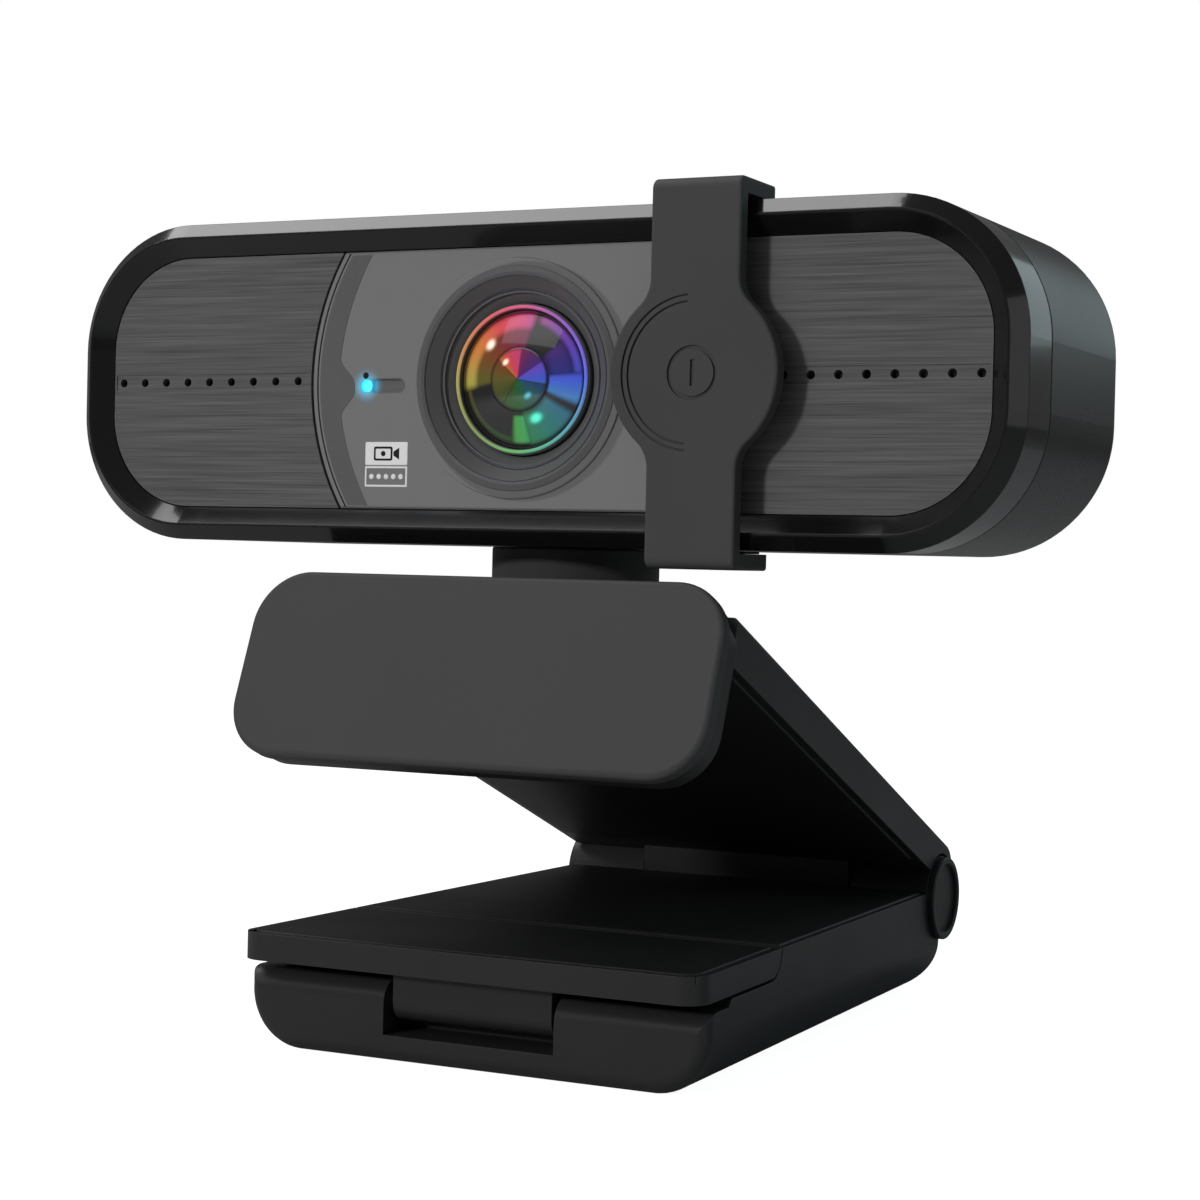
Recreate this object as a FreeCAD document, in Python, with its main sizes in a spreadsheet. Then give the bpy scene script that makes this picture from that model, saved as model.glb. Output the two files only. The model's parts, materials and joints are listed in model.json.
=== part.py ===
"""Webcam on a folding clip stand, as a parametric assembly of separate pieces.

Frame: +X is the camera's left-to-right width, +Y points from the lens to the back, +Z is up.
The origin is the mouth of the tripod insert in the underside of the base. Lengths are millimetres.

Six groups of pieces move on each other: base, flap, arm, neck, head and privacy cover. Each group
is drawn in a frame of its own: base and flap in the part's frame, the arm lying flat with the
hinge axis as its origin, the neck upright with the tilt axis as its origin, and the head and cover
upright with the middle of the front rim as their origin.
"""
import FreeCAD, Part
import math
import os
from types import SimpleNamespace

import Sketcher

Vector = FreeCAD.Vector

# name, value, what it sizes
DIMENSIONS = [
    ("base_front_width", 48.6, "base and flap, width at the front"),
    ("base_rear_width", 44.0, "base and arm, width at the hinge"),
    ("base_height", 11.2, "base, underside to top"),
    ("base_length", 71.7, "flap's front edge to the hinge axis"),
    ("base_setback", 2.0, "base front behind the flap's front edge"),
    ("base_edge", 5.5, "radius of the base's lower side corners"),
    ("base_heel", 4.5, "radius of the base's lower rear edge"),
    ("base_floor", 1.6, "floor of the base's compartment"),
    ("insert_to_hinge", 37.7, "tripod insert to the hinge axis"),
    ("insert_radius", 4.6, "outside of the brass insert"),
    ("insert_bore", 3.175, "bore of the brass insert"),
    ("insert_depth", 7.0, "length of the brass insert"),
    ("pad_thickness", 1.0, "rubber pads"),
    ("lid_thickness", 1.1, "lid under the base pad"),
    ("hinge_height", 10.2, "hinge axis above the underside"),
    ("barrel_radius", 4.7, "hinge barrel"),
    ("knuckle_half", 12.7, "half width of the arm's knuckle"),
    ("hinge_pin_radius", 1.6, "hinge pin"),
    ("cap_thickness", 0.85, "hinge end caps, beyond the ears"),
    ("flap_length", 20.4, "flap, front to rear"),
    ("flap_thickness", 2.6, "flap plate"),
    ("flap_corner", 2.5, "flap's front corners"),
    ("flap_pin_radius", 0.9, "flap pin"),
    ("flap_axis_drop", 3.0, "flap's underside to the flap pin"),
    ("flap_axis_back", 2.6, "base front to the flap pin"),
    ("notch_half", 9.0, "half width of the notch in the base front"),
    ("notch_floor", 2.5, "floor of the notch above the underside"),
    ("arm_angle", 21.5, "arm above the base, in degrees"),
    ("arm_offset", 1.9, "arm's underside above the hinge axis"),
    ("arm_thickness", 4.45, "arm"),
    ("arm_tail", 3.5, "arm behind the hinge axis"),
    ("lip_gap", 0.4, "lip in front of the folded flap"),
    ("lip_thickness", 3.9, "lip, core and front together"),
    ("lip_front_thickness", 1.5, "front plate of the lip"),
    ("lip_width", 49.6, "lip"),
    ("lip_rise", 2.1, "lip above the arm's top"),
    ("lip_corner", 5.5, "lip's corners"),
    ("tilt_reach", 57.6, "hinge axis to tilt axis, along the arm"),
    ("tilt_offset", 10.94, "hinge axis to tilt axis, square to the arm"),
    ("ear_radius", 3.2, "ears that hold the tilt pin"),
    ("ear_thickness", 3.0, "ears that hold the tilt pin"),
    ("yoke_half", 4.4, "half width of the neck's lug"),
    ("tilt_pin_radius", 1.25, "tilt pin"),
    ("neck_rise", 7.2, "tilt axis to the head's underside"),
    ("neck_radius", 8.3, "neck disc"),
    ("neck_disc_height", 3.3, "neck disc"),
    ("neck_setback", 15.1, "neck axis behind the front rim"),
    ("pivot_radius", 3.2, "pan pivot"),
    ("head_width", 99.9, "head"),
    ("head_height", 31.6, "head"),
    ("head_depth", 32.4, "head"),
    ("head_corner", 12.6, "head's corners, seen from the front"),
    ("head_wall", 1.8, "walls of the head"),
    ("head_rear_edge", 3.3, "rounding of the head's rear edge"),
    ("bezel_depth", 7.8, "front bezel"),
    ("bezel_chamfer", 1.4, "outer chamfer of the front rim"),
    ("bezel_bevel", 1.65, "inner bevel of the front rim"),
    ("face_inset", 3.25, "head's outline to the face panels"),
    ("face_web", 1.2, "web behind the face panels"),
    ("panel_thickness", 0.9, "face panels"),
    ("panel_arc", 24.0, "arc where a side panel meets the fascia"),
    ("panel_arc_reach", 22.85, "middle of that arc from the lens axis"),
    ("mic_hole_radius", 0.42, "microphone holes"),
    ("mic_pitch", 2.64, "microphone holes"),
    ("mic_first", 24.45, "innermost microphone hole from the lens axis"),
    ("ring_radius", 10.3, "lens ring"),
    ("funnel_radius", 8.5, "step in the lens ring"),
    ("barrel_front_radius", 7.2, "lens barrel's front"),
    ("barrel_body_radius", 6.0, "lens barrel's body"),
    ("lens_radius", 6.6, "front lens"),
    ("inner_lens_radius", 3.2, "second lens"),
    ("rear_lens_radius", 4.1, "rear lens"),
    ("board_depth", 13.95, "front of the main board behind the rim"),
    ("board_half_width", 36.0, "main board"),
    ("board_thickness", 1.2, "main board"),
    ("led_x", -16.4, "status light from the lens axis"),
    ("led_z", -0.55, "status light from the lens axis"),
    ("cover_x", 19.9, "privacy cover from the lens axis"),
    ("cover_half", 4.4, "half width of the cover's strap"),
    ("cover_disc", 8.25, "cover's disc"),
    ("cover_thickness", 1.5, "cover"),
    ("cover_standoff", 0.6, "cover in front of the rim"),
    ("cover_hook", 5.65, "cover's hooks behind the rim"),
    ("cover_fit", 0.3, "cover's hooks clear of the head"),
    ("pin_fit", 0.02, "pins in their fixed holes"),
    ("running_fit", 0.05, "pins and pivots that turn"),
    ("seat_fit", 0.05, "pieces seated in recesses"),
    ("side_gap", 0.3, "moving faces beside each other"),
    ("barrel_gap", 0.35, "round the hinge barrel"),
    ("shell_gap", 0.15, "joint line of the head"),
]

COLUMN_NOTE = "A"
COLUMN_VALUE = "B"
TOLERANCE = 1e-4


class Size:
    """A length that carries its value and its formula over the sheet's cells."""

    def __init__(self, value, text):
        self.value = value
        self.text = text

    def __add__(self, other):
        other = size(other)
        return Size(self.value + other.value, f"({self.text} + {other.text})")

    def __radd__(self, other):
        return size(other) + self

    def __sub__(self, other):
        other = size(other)
        return Size(self.value - other.value, f"({self.text} - {other.text})")

    def __rsub__(self, other):
        return size(other) - self

    def __mul__(self, other):
        other = size(other)
        return Size(self.value * other.value, f"({self.text} * {other.text})")

    def __rmul__(self, other):
        return size(other) * self

    def __truediv__(self, other):
        other = size(other)
        return Size(self.value / other.value, f"({self.text} / {other.text})")

    def __neg__(self):
        return Size(-self.value, f"(0 - {self.text})")


def size(item):
    """Return item as a Size, so that plain numbers and sizes mix."""
    if isinstance(item, Size):
        return item
    return Size(float(item), f"({float(item):.6f})")


def root(item):
    return Size(math.sqrt(item.value), f"sqrt({item.text})")


def sine(degrees):
    return Size(math.sin(math.radians(degrees.value)), f"sin({degrees.text} * 1 deg)")


def cosine(degrees):
    return Size(math.cos(math.radians(degrees.value)), f"cos({degrees.text} * 1 deg)")


def fill_sheet(document):
    """Write the driving dimensions into a spreadsheet and return them by name."""
    sheet = document.addObject("Spreadsheet::Sheet", "Dims")
    named = {}
    for row, (name, value, note) in enumerate(DIMENSIONS, start=1):
        sheet.set(f"{COLUMN_NOTE}{row}", note)
        sheet.set(f"{COLUMN_VALUE}{row}", str(value))
        sheet.setAlias(f"{COLUMN_VALUE}{row}", name)
        named[name] = Size(float(value), f"Dims.{name}")
    document.recompute()
    return SimpleNamespace(**named)


# ---------------------------------------------------------------- sketches

def bind(sketch, kind, geometry, position, value):
    """Pin one coordinate of a point to a formula."""
    index = sketch.addConstraint(Sketcher.Constraint(kind, geometry, position, value.value))
    sketch.setExpression(f"Constraints[{index}]", value.text)


def pin_point(sketch, geometry, position, x, y):
    bind(sketch, "DistanceX", geometry, position, size(x))
    bind(sketch, "DistanceY", geometry, position, size(y))


def draw_circle(sketch, x, y, radius):
    x, y, radius = size(x), size(y), size(radius)
    centre = Vector(x.value, y.value, 0)
    geometry = sketch.addGeometry(Part.Circle(centre, Vector(0, 0, 1), radius.value), False)
    pin_point(sketch, geometry, 3, x, y)
    index = sketch.addConstraint(Sketcher.Constraint("Radius", geometry, radius.value))
    sketch.setExpression(f"Constraints[{index}]", radius.text)


def draw_outline(sketch, corners):
    """Draw a closed outline. A corner is (x, y), or (x, y, radius, turn) where an arc leaves it.

    The arc runs to the next corner, to the left (turn 1, counter-clockwise) or right (turn -1),
    and is at most a half turn.
    """
    corners = [(size(corner[0]), size(corner[1])) + tuple(corner[2:]) for corner in corners]
    ends = []
    for index, corner in enumerate(corners):
        following = corners[(index + 1) % len(corners)]
        start = Vector(corner[0].value, corner[1].value, 0)
        end = Vector(following[0].value, following[1].value, 0)
        if len(corner) == 2:
            geometry = sketch.addGeometry(Part.LineSegment(start, end), False)
            ends.append((geometry, 1, 2))
            continue
        radius, turn = size(corner[2]), corner[3]
        chord = end - start
        height = math.sqrt(max(radius.value ** 2 - (chord.Length / 2) ** 2, 0.0))
        side = Vector(-chord.y, chord.x, 0).normalize() * turn
        centre = start + chord * 0.5 + side * height
        first, last = (start, end) if turn > 0 else (end, start)
        angles = [math.atan2(point.y - centre.y, point.x - centre.x) for point in (first, last)]
        circle = Part.Circle(centre, Vector(0, 0, 1), radius.value)
        geometry = sketch.addGeometry(Part.ArcOfCircle(circle, angles[0], angles[1]), False)
        ends.append((geometry, 1, 2) if turn > 0 else (geometry, 2, 1))
        constraint = sketch.addConstraint(Sketcher.Constraint("Radius", geometry, radius.value))
        sketch.setExpression(f"Constraints[{constraint}]", radius.text)
    for index, (geometry, start, end) in enumerate(ends):
        following = ends[(index + 1) % len(ends)]
        joint = Sketcher.Constraint("Coincident", geometry, end, following[0], following[1])
        sketch.addConstraint(joint)
        pin_point(sketch, geometry, start, corners[index][0], corners[index][1])


def draw_box(sketch, x0, y0, x1, y1):
    draw_outline(sketch, [(x0, y0), (x1, y0), (x1, y1), (x0, y1)])


def draw_rounded(sketch, x, y, half_width, half_height, radius):
    """Draw a rectangle with round corners about the point x, y."""
    left, right = x - half_width, x + half_width
    low, high = y - half_height, y + half_height
    draw_outline(sketch, [
        (left + radius, low),
        (right - radius, low, radius, 1),
        (right, low + radius),
        (right, high - radius, radius, 1),
        (right - radius, high),
        (left + radius, high, radius, 1),
        (left, high - radius),
        (left, low + radius, radius, 1),
    ])


# ---------------------------------------------------------------- features

class Piece:
    """One sub-part: a PartDesign body in its group's frame."""

    def __init__(self, label, frame):
        self.body = doc.addObject("PartDesign::Body", label)
        self.body.Label = label
        self.label = label
        self.count = 0
        place(self.body, frame)
        pieces.append(self.body)

    def name(self, kind):
        self.count += 1
        return f"{self.label}_{kind}{self.count}"

    def sketch(self, plane, level, draw):
        """Draw on a plane square to one axis: XY, XZ or YZ, at a level along that axis."""
        level = size(level)
        sketch = self.body.newObject("Sketcher::SketchObject", self.name("sketch"))
        role = f"{plane}_Plane"
        support = next(item for item in self.body.Origin.OriginFeatures if item.Role == role)
        sketch.AttachmentSupport = [(support, "")]
        sketch.MapMode = "FlatFace"
        offset = -level if plane == "XZ" else level
        sketch.setExpression("AttachmentOffset.Base.z", offset.text)
        draw(sketch)
        sketch.Visibility = False
        return sketch

    def pad(self, plane, low, high, draw):
        """Add material from low to high along the plane's axis."""
        feature = self.extrude("PartDesign::Pad", "pad", plane, low, high, draw)
        feature.Reversed = plane == "XZ"

    def cut(self, plane, low, high, draw):
        """Remove material from low to high along the plane's axis."""
        feature = self.extrude("PartDesign::Pocket", "cut", plane, low, high, draw)
        feature.Reversed = plane != "XZ"

    def extrude(self, kind, word, plane, low, high, draw):
        profile = self.sketch(plane, low, draw)
        feature = self.body.newObject(kind, self.name(word))
        feature.Profile = profile
        feature.setExpression("Length", (size(high) - size(low)).text)
        return feature

    def revolve(self, draw, plane="XY", axis="V_Axis"):
        """Turn a half section about an axis of its sketch."""
        profile = self.sketch(plane, 0, draw)
        feature = self.body.newObject("PartDesign::Revolution", self.name("turn"))
        feature.Profile = profile
        feature.ReferenceAxis = (profile, [axis])
        feature.Angle = 360

    def loft(self, sections):
        """Join sections, each (plane, level, draw), into one solid."""
        profiles = [self.sketch(*section) for section in sections]
        feature = self.body.newObject("PartDesign::AdditiveLoft", self.name("loft"))
        feature.Profile = profiles[0]
        feature.Sections = profiles[1:]
        feature.Ruled = True

    def dress(self, kind, amount, test):
        """Fillet or chamfer the edges that pass the test."""
        doc.recompute()
        base = self.body.Tip
        edges = base.Shape.Edges
        chosen = [f"Edge{index}" for index, edge in enumerate(edges, start=1) if test(edge)]
        if not chosen:
            raise RuntimeError(f"{self.label}: no edge to {kind}")
        feature = self.body.newObject(f"PartDesign::{kind}", self.name(kind.lower()))
        feature.Base = (base, chosen)
        feature.setExpression("Radius" if kind == "Fillet" else "Size", size(amount).text)
        doc.recompute()

    def fillet(self, amount, test):
        self.dress("Fillet", amount, test)

    def chamfer(self, amount, test):
        self.dress("Chamfer", amount, test)


def place(body, frame):
    """Put a body at its group's origin, turned about X by the group's angle."""
    body.Placement = FreeCAD.Placement(Vector(), FreeCAD.Rotation(Vector(1, 0, 0), -1))
    for axis, value in zip("xyz", frame.origin):
        body.setExpression(f".Placement.Base.{axis}", size(value).text)
    body.setExpression(".Placement.Rotation.Angle", size(frame.turn).text)


def flat_at(axis, level):
    """Test for edges that lie on one plane square to an axis."""
    position = "xyz".index(axis)
    target = size(level).value

    def test(edge):
        points = edge.discretize(3)
        return all(abs(point[position] - target) < TOLERANCE for point in points)
    return test


def straight_along(axis):
    """Test for straight edges along an axis."""
    position = "xyz".index(axis)

    def test(edge):
        if edge.Curve.TypeId != "Part::GeomLine":
            return False
        return abs(abs(edge.Curve.Direction[position]) - 1) < TOLERANCE
    return test


def every(*tests):
    return lambda edge: all(test(edge) for test in tests)


def within(axis, low, high):
    """Test for edges whose middle lies between two levels of an axis."""
    position = "xyz".index(axis)
    low, high = size(low).value, size(high).value

    def test(edge):
        middle = edge.discretize(3)[1][position]
        return low - TOLERANCE <= middle <= high + TOLERANCE
    return test


# ---------------------------------------------------------------- shared shapes

def base_half_width(y):
    """Half width of base, flap and arm at a distance y in front of (negative) the hinge axis."""
    taper = (d.base_front_width - d.base_rear_width) / (2 * d.base_length)
    return d.base_rear_width / 2 - taper * y


def draw_tapered(sketch, front, rear, inset, hinge_y):
    """Draw the tapered plan of base and arm between two levels of Y."""
    front_half = base_half_width(front - hinge_y) - inset
    rear_half = base_half_width(rear - hinge_y) - inset
    draw_outline(sketch, [
        (-front_half, front),
        (front_half, front),
        (rear_half, rear),
        (-rear_half, rear),
    ])


def draw_circles(sketch, places, radius):
    for x, y in places:
        draw_circle(sketch, x, y, radius)


def make_screws(label, frame, plane, places, seat, tip, head_radius, head_height, shank_radius):
    """Make screws along a plane's axis: the head stands on seat, away from tip."""
    upward = size(seat).value > size(tip).value
    top = seat + head_height if upward else seat - head_height
    slot_depth = head_height * 0.6
    slot_floor = top - slot_depth if upward else top + slot_depth
    screws = Piece(label, frame)
    head_ends = (seat, top) if upward else (top, seat)
    shank_ends = (tip, seat) if upward else (seat, tip)
    slot_ends = (slot_floor, top) if upward else (top, slot_floor)
    screws.pad(plane, *head_ends, lambda s: draw_circles(s, places, head_radius))
    screws.pad(plane, *shank_ends, lambda s: draw_circles(s, places, shank_radius))
    arm, half = head_radius * 0.6, head_radius * 0.14
    for reach_x, reach_y in ((arm, half), (half, arm)):
        def draw_slots(sketch, reach_x=reach_x, reach_y=reach_y):
            for x, y in places:
                x, y = size(x), size(y)
                draw_box(sketch, x - reach_x, y - reach_y, x + reach_x, y + reach_y)
        screws.cut(plane, *slot_ends, draw_slots)


def four_corners(half_x, low_y, high_y):
    return [(-half_x, low_y), (half_x, low_y), (half_x, high_y), (-half_x, high_y)]


# ---------------------------------------------------------------- base

BASE_SCREW_HEAD = 1.9
BASE_SCREW_SHANK = 0.8
SCREW_HEAD_HEIGHT = 0.55
POST_RADIUS = 2.3
BASE_PAD_INSET = 0.5
LID_INSET = 1.6
COMPARTMENT_INSET = 3.5
BASE_FRONT_EDGE = 1.4
INSERT_WALL = 1.6
INSERT_COVER = 1.4
POST_SCREW_DEPTH = 5.5
FLAP_PIN_HEAD_COVER = 3.6
EAR_RECESS_DEPTH = 0.8
EAR_RECESS_RADIUS = 3.25
UNDERSIDE_SKIM = 0.03  # Planed off the underside, so that the base stands on a true flat.


def base_levels():
    """Levels shared by the base's pieces."""
    hinge_y = d.insert_to_hinge
    flap_front = hinge_y - d.base_length
    front = flap_front + d.base_setback
    flap_rear = flap_front + d.flap_length
    flap_bottom = d.base_height - d.flap_thickness
    pad_floor = d.base_height - d.pad_thickness + 0.2
    return SimpleNamespace(
        hinge_y=hinge_y,
        flap_front=flap_front,
        flap_rear=flap_rear,
        flap_bottom=flap_bottom,
        flap_axis_y=front + d.flap_axis_back,
        flap_axis_z=flap_bottom - d.flap_axis_drop,
        front=front,
        recess_rear=flap_rear + d.side_gap,
        pad_front=flap_rear + 0.9,
        pad_rear=hinge_y - d.barrel_radius - 0.9,
        pad_floor=pad_floor,
        lid_floor=pad_floor - d.lid_thickness - d.seat_fit,
        ear_inner=d.knuckle_half + d.side_gap,
    )


def lid_screw_places():
    front = b.pad_front + 7
    rear = b.pad_rear - 6.5
    return four_corners(base_half_width(rear - b.hinge_y) - 6.6, front, rear)


def draw_base_section(sketch, y):
    """Cross-section of the base: flat top, square upper corners, round lower ones."""
    half, edge, low = base_half_width(y - b.hinge_y), d.base_edge, -UNDERSIDE_SKIM
    draw_outline(sketch, [
        (-half + edge, low),
        (half - edge, low, edge, 1),
        (half, edge + low),
        (half, d.base_height),
        (-half, d.base_height),
        (-half, edge + low, edge, 1),
    ])


def draw_flap_recess(sketch):
    """Side view of the space for the flap, with the round tops of the front knuckles."""
    top = d.base_height + 1
    nose = 2.2
    knuckle_top = b.flap_axis_z + 2.0
    recess_floor = b.flap_bottom - d.side_gap
    sweep = 2.9
    draw_outline(sketch, [
        (b.front - 3, knuckle_top - nose),
        (b.front, knuckle_top - nose, nose, -1),
        (b.front + nose, knuckle_top),
        (b.flap_axis_y + 2.4, knuckle_top),
        (b.flap_axis_y + 3.1, recess_floor),
        (b.recess_rear - sweep, recess_floor, sweep, 1),
        (b.recess_rear, recess_floor + sweep),
        (b.recess_rear, top),
        (b.front - 3, top),
    ])


def draw_heel(sketch):
    """Side view of what the round lower rear edge takes away."""
    heel = d.base_heel
    draw_outline(sketch, [
        (b.hinge_y - heel, -1),
        (b.hinge_y + 1, -1),
        (b.hinge_y + 1, heel),
        (b.hinge_y, heel, heel, -1),
        (b.hinge_y - heel, 0),
    ])


def draw_knuckle_clearance(sketch):
    """Side view of the space that the arm's knuckle web needs when the arm is folded down."""
    reach_y, reach_z = d.barrel_radius * 1.28, d.barrel_radius * 0.45
    gap = d.barrel_gap
    draw_outline(sketch, [
        (b.hinge_y, d.hinge_height - reach_z - gap),
        (b.hinge_y, d.base_height + 1),
        (b.hinge_y - reach_y - 2 * gap, d.base_height + 1),
        (b.hinge_y - reach_y - 2 * gap, d.hinge_height + gap),
        (b.hinge_y - d.barrel_radius, d.hinge_height - reach_z - gap),
    ])


def make_base_shell():
    shell = Piece("base_shell", base_frame)
    shell.loft([
        ("XZ", b.hinge_y, lambda s: draw_base_section(s, b.hinge_y)),
        ("XZ", b.front, lambda s: draw_base_section(s, b.front)),
    ])
    shell.fillet(BASE_FRONT_EDGE, flat_at("y", b.front))
    shell.cut("XY", -1, 0, lambda s: draw_box(
        s, -d.base_front_width, b.front - 1, d.base_front_width, b.hinge_y + 1))
    shell.cut("YZ", -d.base_front_width, d.base_front_width, draw_heel)
    shell.pad("YZ", -d.base_rear_width / 2, d.base_rear_width / 2,
              lambda s: draw_circle(s, b.hinge_y, d.hinge_height, d.barrel_radius))
    clearance = d.barrel_radius + d.barrel_gap
    shell.cut("YZ", -b.ear_inner, b.ear_inner,
              lambda s: draw_circle(s, b.hinge_y, d.hinge_height, clearance))
    shell.cut("YZ", -b.ear_inner, b.ear_inner, draw_knuckle_clearance)
    shell.cut("YZ", -d.base_front_width, d.base_front_width, draw_flap_recess)
    cut_base_compartment(shell)
    cut_flap_knuckles(shell)
    shell.cut("YZ", -d.base_front_width, d.base_front_width,
              lambda s: draw_circle(s, b.hinge_y, d.hinge_height, d.hinge_pin_radius + d.pin_fit))
    outer = d.base_rear_width / 2
    for depth, reach, radius in (
        (size(0), size(1), d.barrel_radius),
        (size(EAR_RECESS_DEPTH), size(0), size(EAR_RECESS_RADIUS)),
    ):
        for ends in ((outer - depth, outer + reach), (-outer - reach, -outer + depth)):
            shell.cut("YZ", *ends,
                      lambda s, r=radius: draw_circle(s, b.hinge_y, d.hinge_height, r))


def cut_base_compartment(shell):
    """Recesses for pad and lid, the compartment, the insert's boss and the lid's posts."""
    top = d.base_height + 1
    for low, high, inset, front, rear in (
        (b.pad_floor, top, size(BASE_PAD_INSET), b.pad_front, b.pad_rear),
        (b.lid_floor, b.pad_floor, size(LID_INSET), b.pad_front + 1, b.pad_rear - 1),
        (d.base_floor, b.lid_floor, size(COMPARTMENT_INSET), b.pad_front + 3, b.pad_rear - 2.5),
    ):
        shell.cut("XY", low, high, lambda s, f=front, r=rear, i=inset: draw_tapered(s, f, r, i, b.hinge_y))
    shell.pad("XY", d.base_floor, d.insert_depth + INSERT_COVER,
              lambda s: draw_circle(s, 0, 0, d.insert_radius + INSERT_WALL))
    shell.cut("XY", 0, d.insert_depth, lambda s: draw_circle(s, 0, 0, d.insert_radius))
    shell.pad("XY", d.base_floor, b.lid_floor,
              lambda s: draw_circles(s, lid_screw_places(), POST_RADIUS))
    shell.cut("XY", b.lid_floor - POST_SCREW_DEPTH, b.lid_floor,
              lambda s: draw_circles(s, lid_screw_places(), BASE_SCREW_SHANK + d.pin_fit))


def cut_flap_knuckles(shell):
    """Notch for the flap's tab, the pin's hole and two coring pockets under the flap."""
    notch_rear = b.flap_axis_y + 2.9
    shell.cut("YZ", -d.notch_half, d.notch_half,
              lambda s: draw_box(s, b.front - 2, d.notch_floor, notch_rear, d.base_height))
    pin_half = base_half_width(b.front - b.hinge_y) - FLAP_PIN_HEAD_COVER
    shell.cut("YZ", -pin_half, pin_half,
              lambda s: draw_circle(s, b.flap_axis_y, b.flap_axis_z, d.flap_pin_radius + d.pin_fit))
    rib, front, rear = 1.0, b.flap_axis_y + 5.0, b.recess_rear - 3.4
    outer = base_half_width(rear - b.hinge_y) - COMPARTMENT_INSET
    for low, high in ((-outer, size(-rib)), (size(rib), outer)):
        shell.cut("XY", d.base_floor + 0.6, b.flap_bottom,
                  lambda s, x0=low, x1=high: draw_box(s, x0, front, x1, rear))


def make_base_inside():
    insert = Piece("tripod_insert", base_frame)
    insert.pad("XY", 0, d.insert_depth - d.seat_fit,
               lambda s: draw_circle(s, 0, 0, d.insert_radius - d.seat_fit))
    insert.cut("XY", 0, d.insert_depth, lambda s: draw_circle(s, 0, 0, d.insert_bore))
    insert.chamfer(0.4, every(flat_at("z", d.insert_depth - d.seat_fit)))
    lid = Piece("base_lid", base_frame)
    lid_top = b.pad_floor - d.seat_fit
    inset = size(LID_INSET) + 2 * d.seat_fit
    lid.pad("XY", b.lid_floor, lid_top, lambda s: draw_tapered(
        s, b.pad_front + 1 + 2 * d.seat_fit, b.pad_rear - 1 - 2 * d.seat_fit, inset, b.hinge_y))
    lid.cut("XY", b.lid_floor, lid_top,
            lambda s: draw_circles(s, lid_screw_places(), BASE_SCREW_SHANK + 0.3))
    lid.cut("XY", lid_top - SCREW_HEAD_HEIGHT - d.seat_fit, lid_top,
            lambda s: draw_circles(s, lid_screw_places(), BASE_SCREW_HEAD + 0.1))
    make_screws("base_screws", base_frame, "XY", lid_screw_places(),
                lid_top - SCREW_HEAD_HEIGHT - d.seat_fit, b.lid_floor - (POST_SCREW_DEPTH - 0.5),
                size(BASE_SCREW_HEAD), size(SCREW_HEAD_HEIGHT), size(BASE_SCREW_SHANK))
    pad = Piece("base_pad", base_frame)
    inset = size(BASE_PAD_INSET) + d.seat_fit
    pad.pad("XY", b.pad_floor, b.pad_floor + d.pad_thickness, lambda s: draw_tapered(
        s, b.pad_front + d.seat_fit, b.pad_rear - d.seat_fit, inset, b.hinge_y))
    pad.fillet(0.25, flat_at("z", b.pad_floor + d.pad_thickness))


def make_hinge():
    pin = Piece("hinge_pin", base_frame)
    half = d.base_rear_width / 2 - EAR_RECESS_DEPTH - 0.2
    pin.pad("YZ", -half, half,
            lambda s: draw_circle(s, b.hinge_y, d.hinge_height, d.hinge_pin_radius))
    pin.chamfer(0.3, lambda edge: flat_at("x", half)(edge) or flat_at("x", -half)(edge))
    washer_low = d.knuckle_half + d.side_gap / 6
    washer_high = b.ear_inner - d.side_gap / 6
    for word, side in (("left", -1), ("right", 1)):
        low, high = (washer_low, washer_high) if side > 0 else (-washer_high, -washer_low)
        washer = Piece(f"hinge_washer_{word}", base_frame)
        washer.pad("YZ", low, high,
                   lambda s: draw_circle(s, b.hinge_y, d.hinge_height, d.barrel_radius - 0.6))
        washer.cut("YZ", low, high, lambda s: draw_circle(
            s, b.hinge_y, d.hinge_height, d.hinge_pin_radius + d.running_fit))
        make_hinge_cap(word, side)


def make_hinge_cap(word, side):
    """A dished disc on the ear's end, with a spigot in the ear's recess."""
    cap = Piece(f"hinge_cap_{word}", base_frame)
    face = d.base_rear_width / 2 + d.seat_fit / 2
    outer = face + d.cap_thickness
    radius = d.barrel_radius - 0.08
    ends = (face, outer) if side > 0 else (-outer, -face)
    cap.pad("YZ", *ends, lambda s: draw_circle(s, b.hinge_y, d.hinge_height, radius))
    inner = d.base_rear_width / 2 - EAR_RECESS_DEPTH + d.seat_fit
    ends = (inner, face) if side > 0 else (-face, -inner)
    cap.pad("YZ", *ends, lambda s: draw_circle(
        s, b.hinge_y, d.hinge_height, size(EAR_RECESS_RADIUS) - d.seat_fit))
    ends = (outer - 0.5, outer) if side > 0 else (-outer, -outer + 0.5)
    cap.cut("YZ", *ends, lambda s: draw_circle(s, b.hinge_y, d.hinge_height, radius - 0.75))
    cap.fillet(0.22, flat_at("x", outer if side > 0 else -outer))


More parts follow.
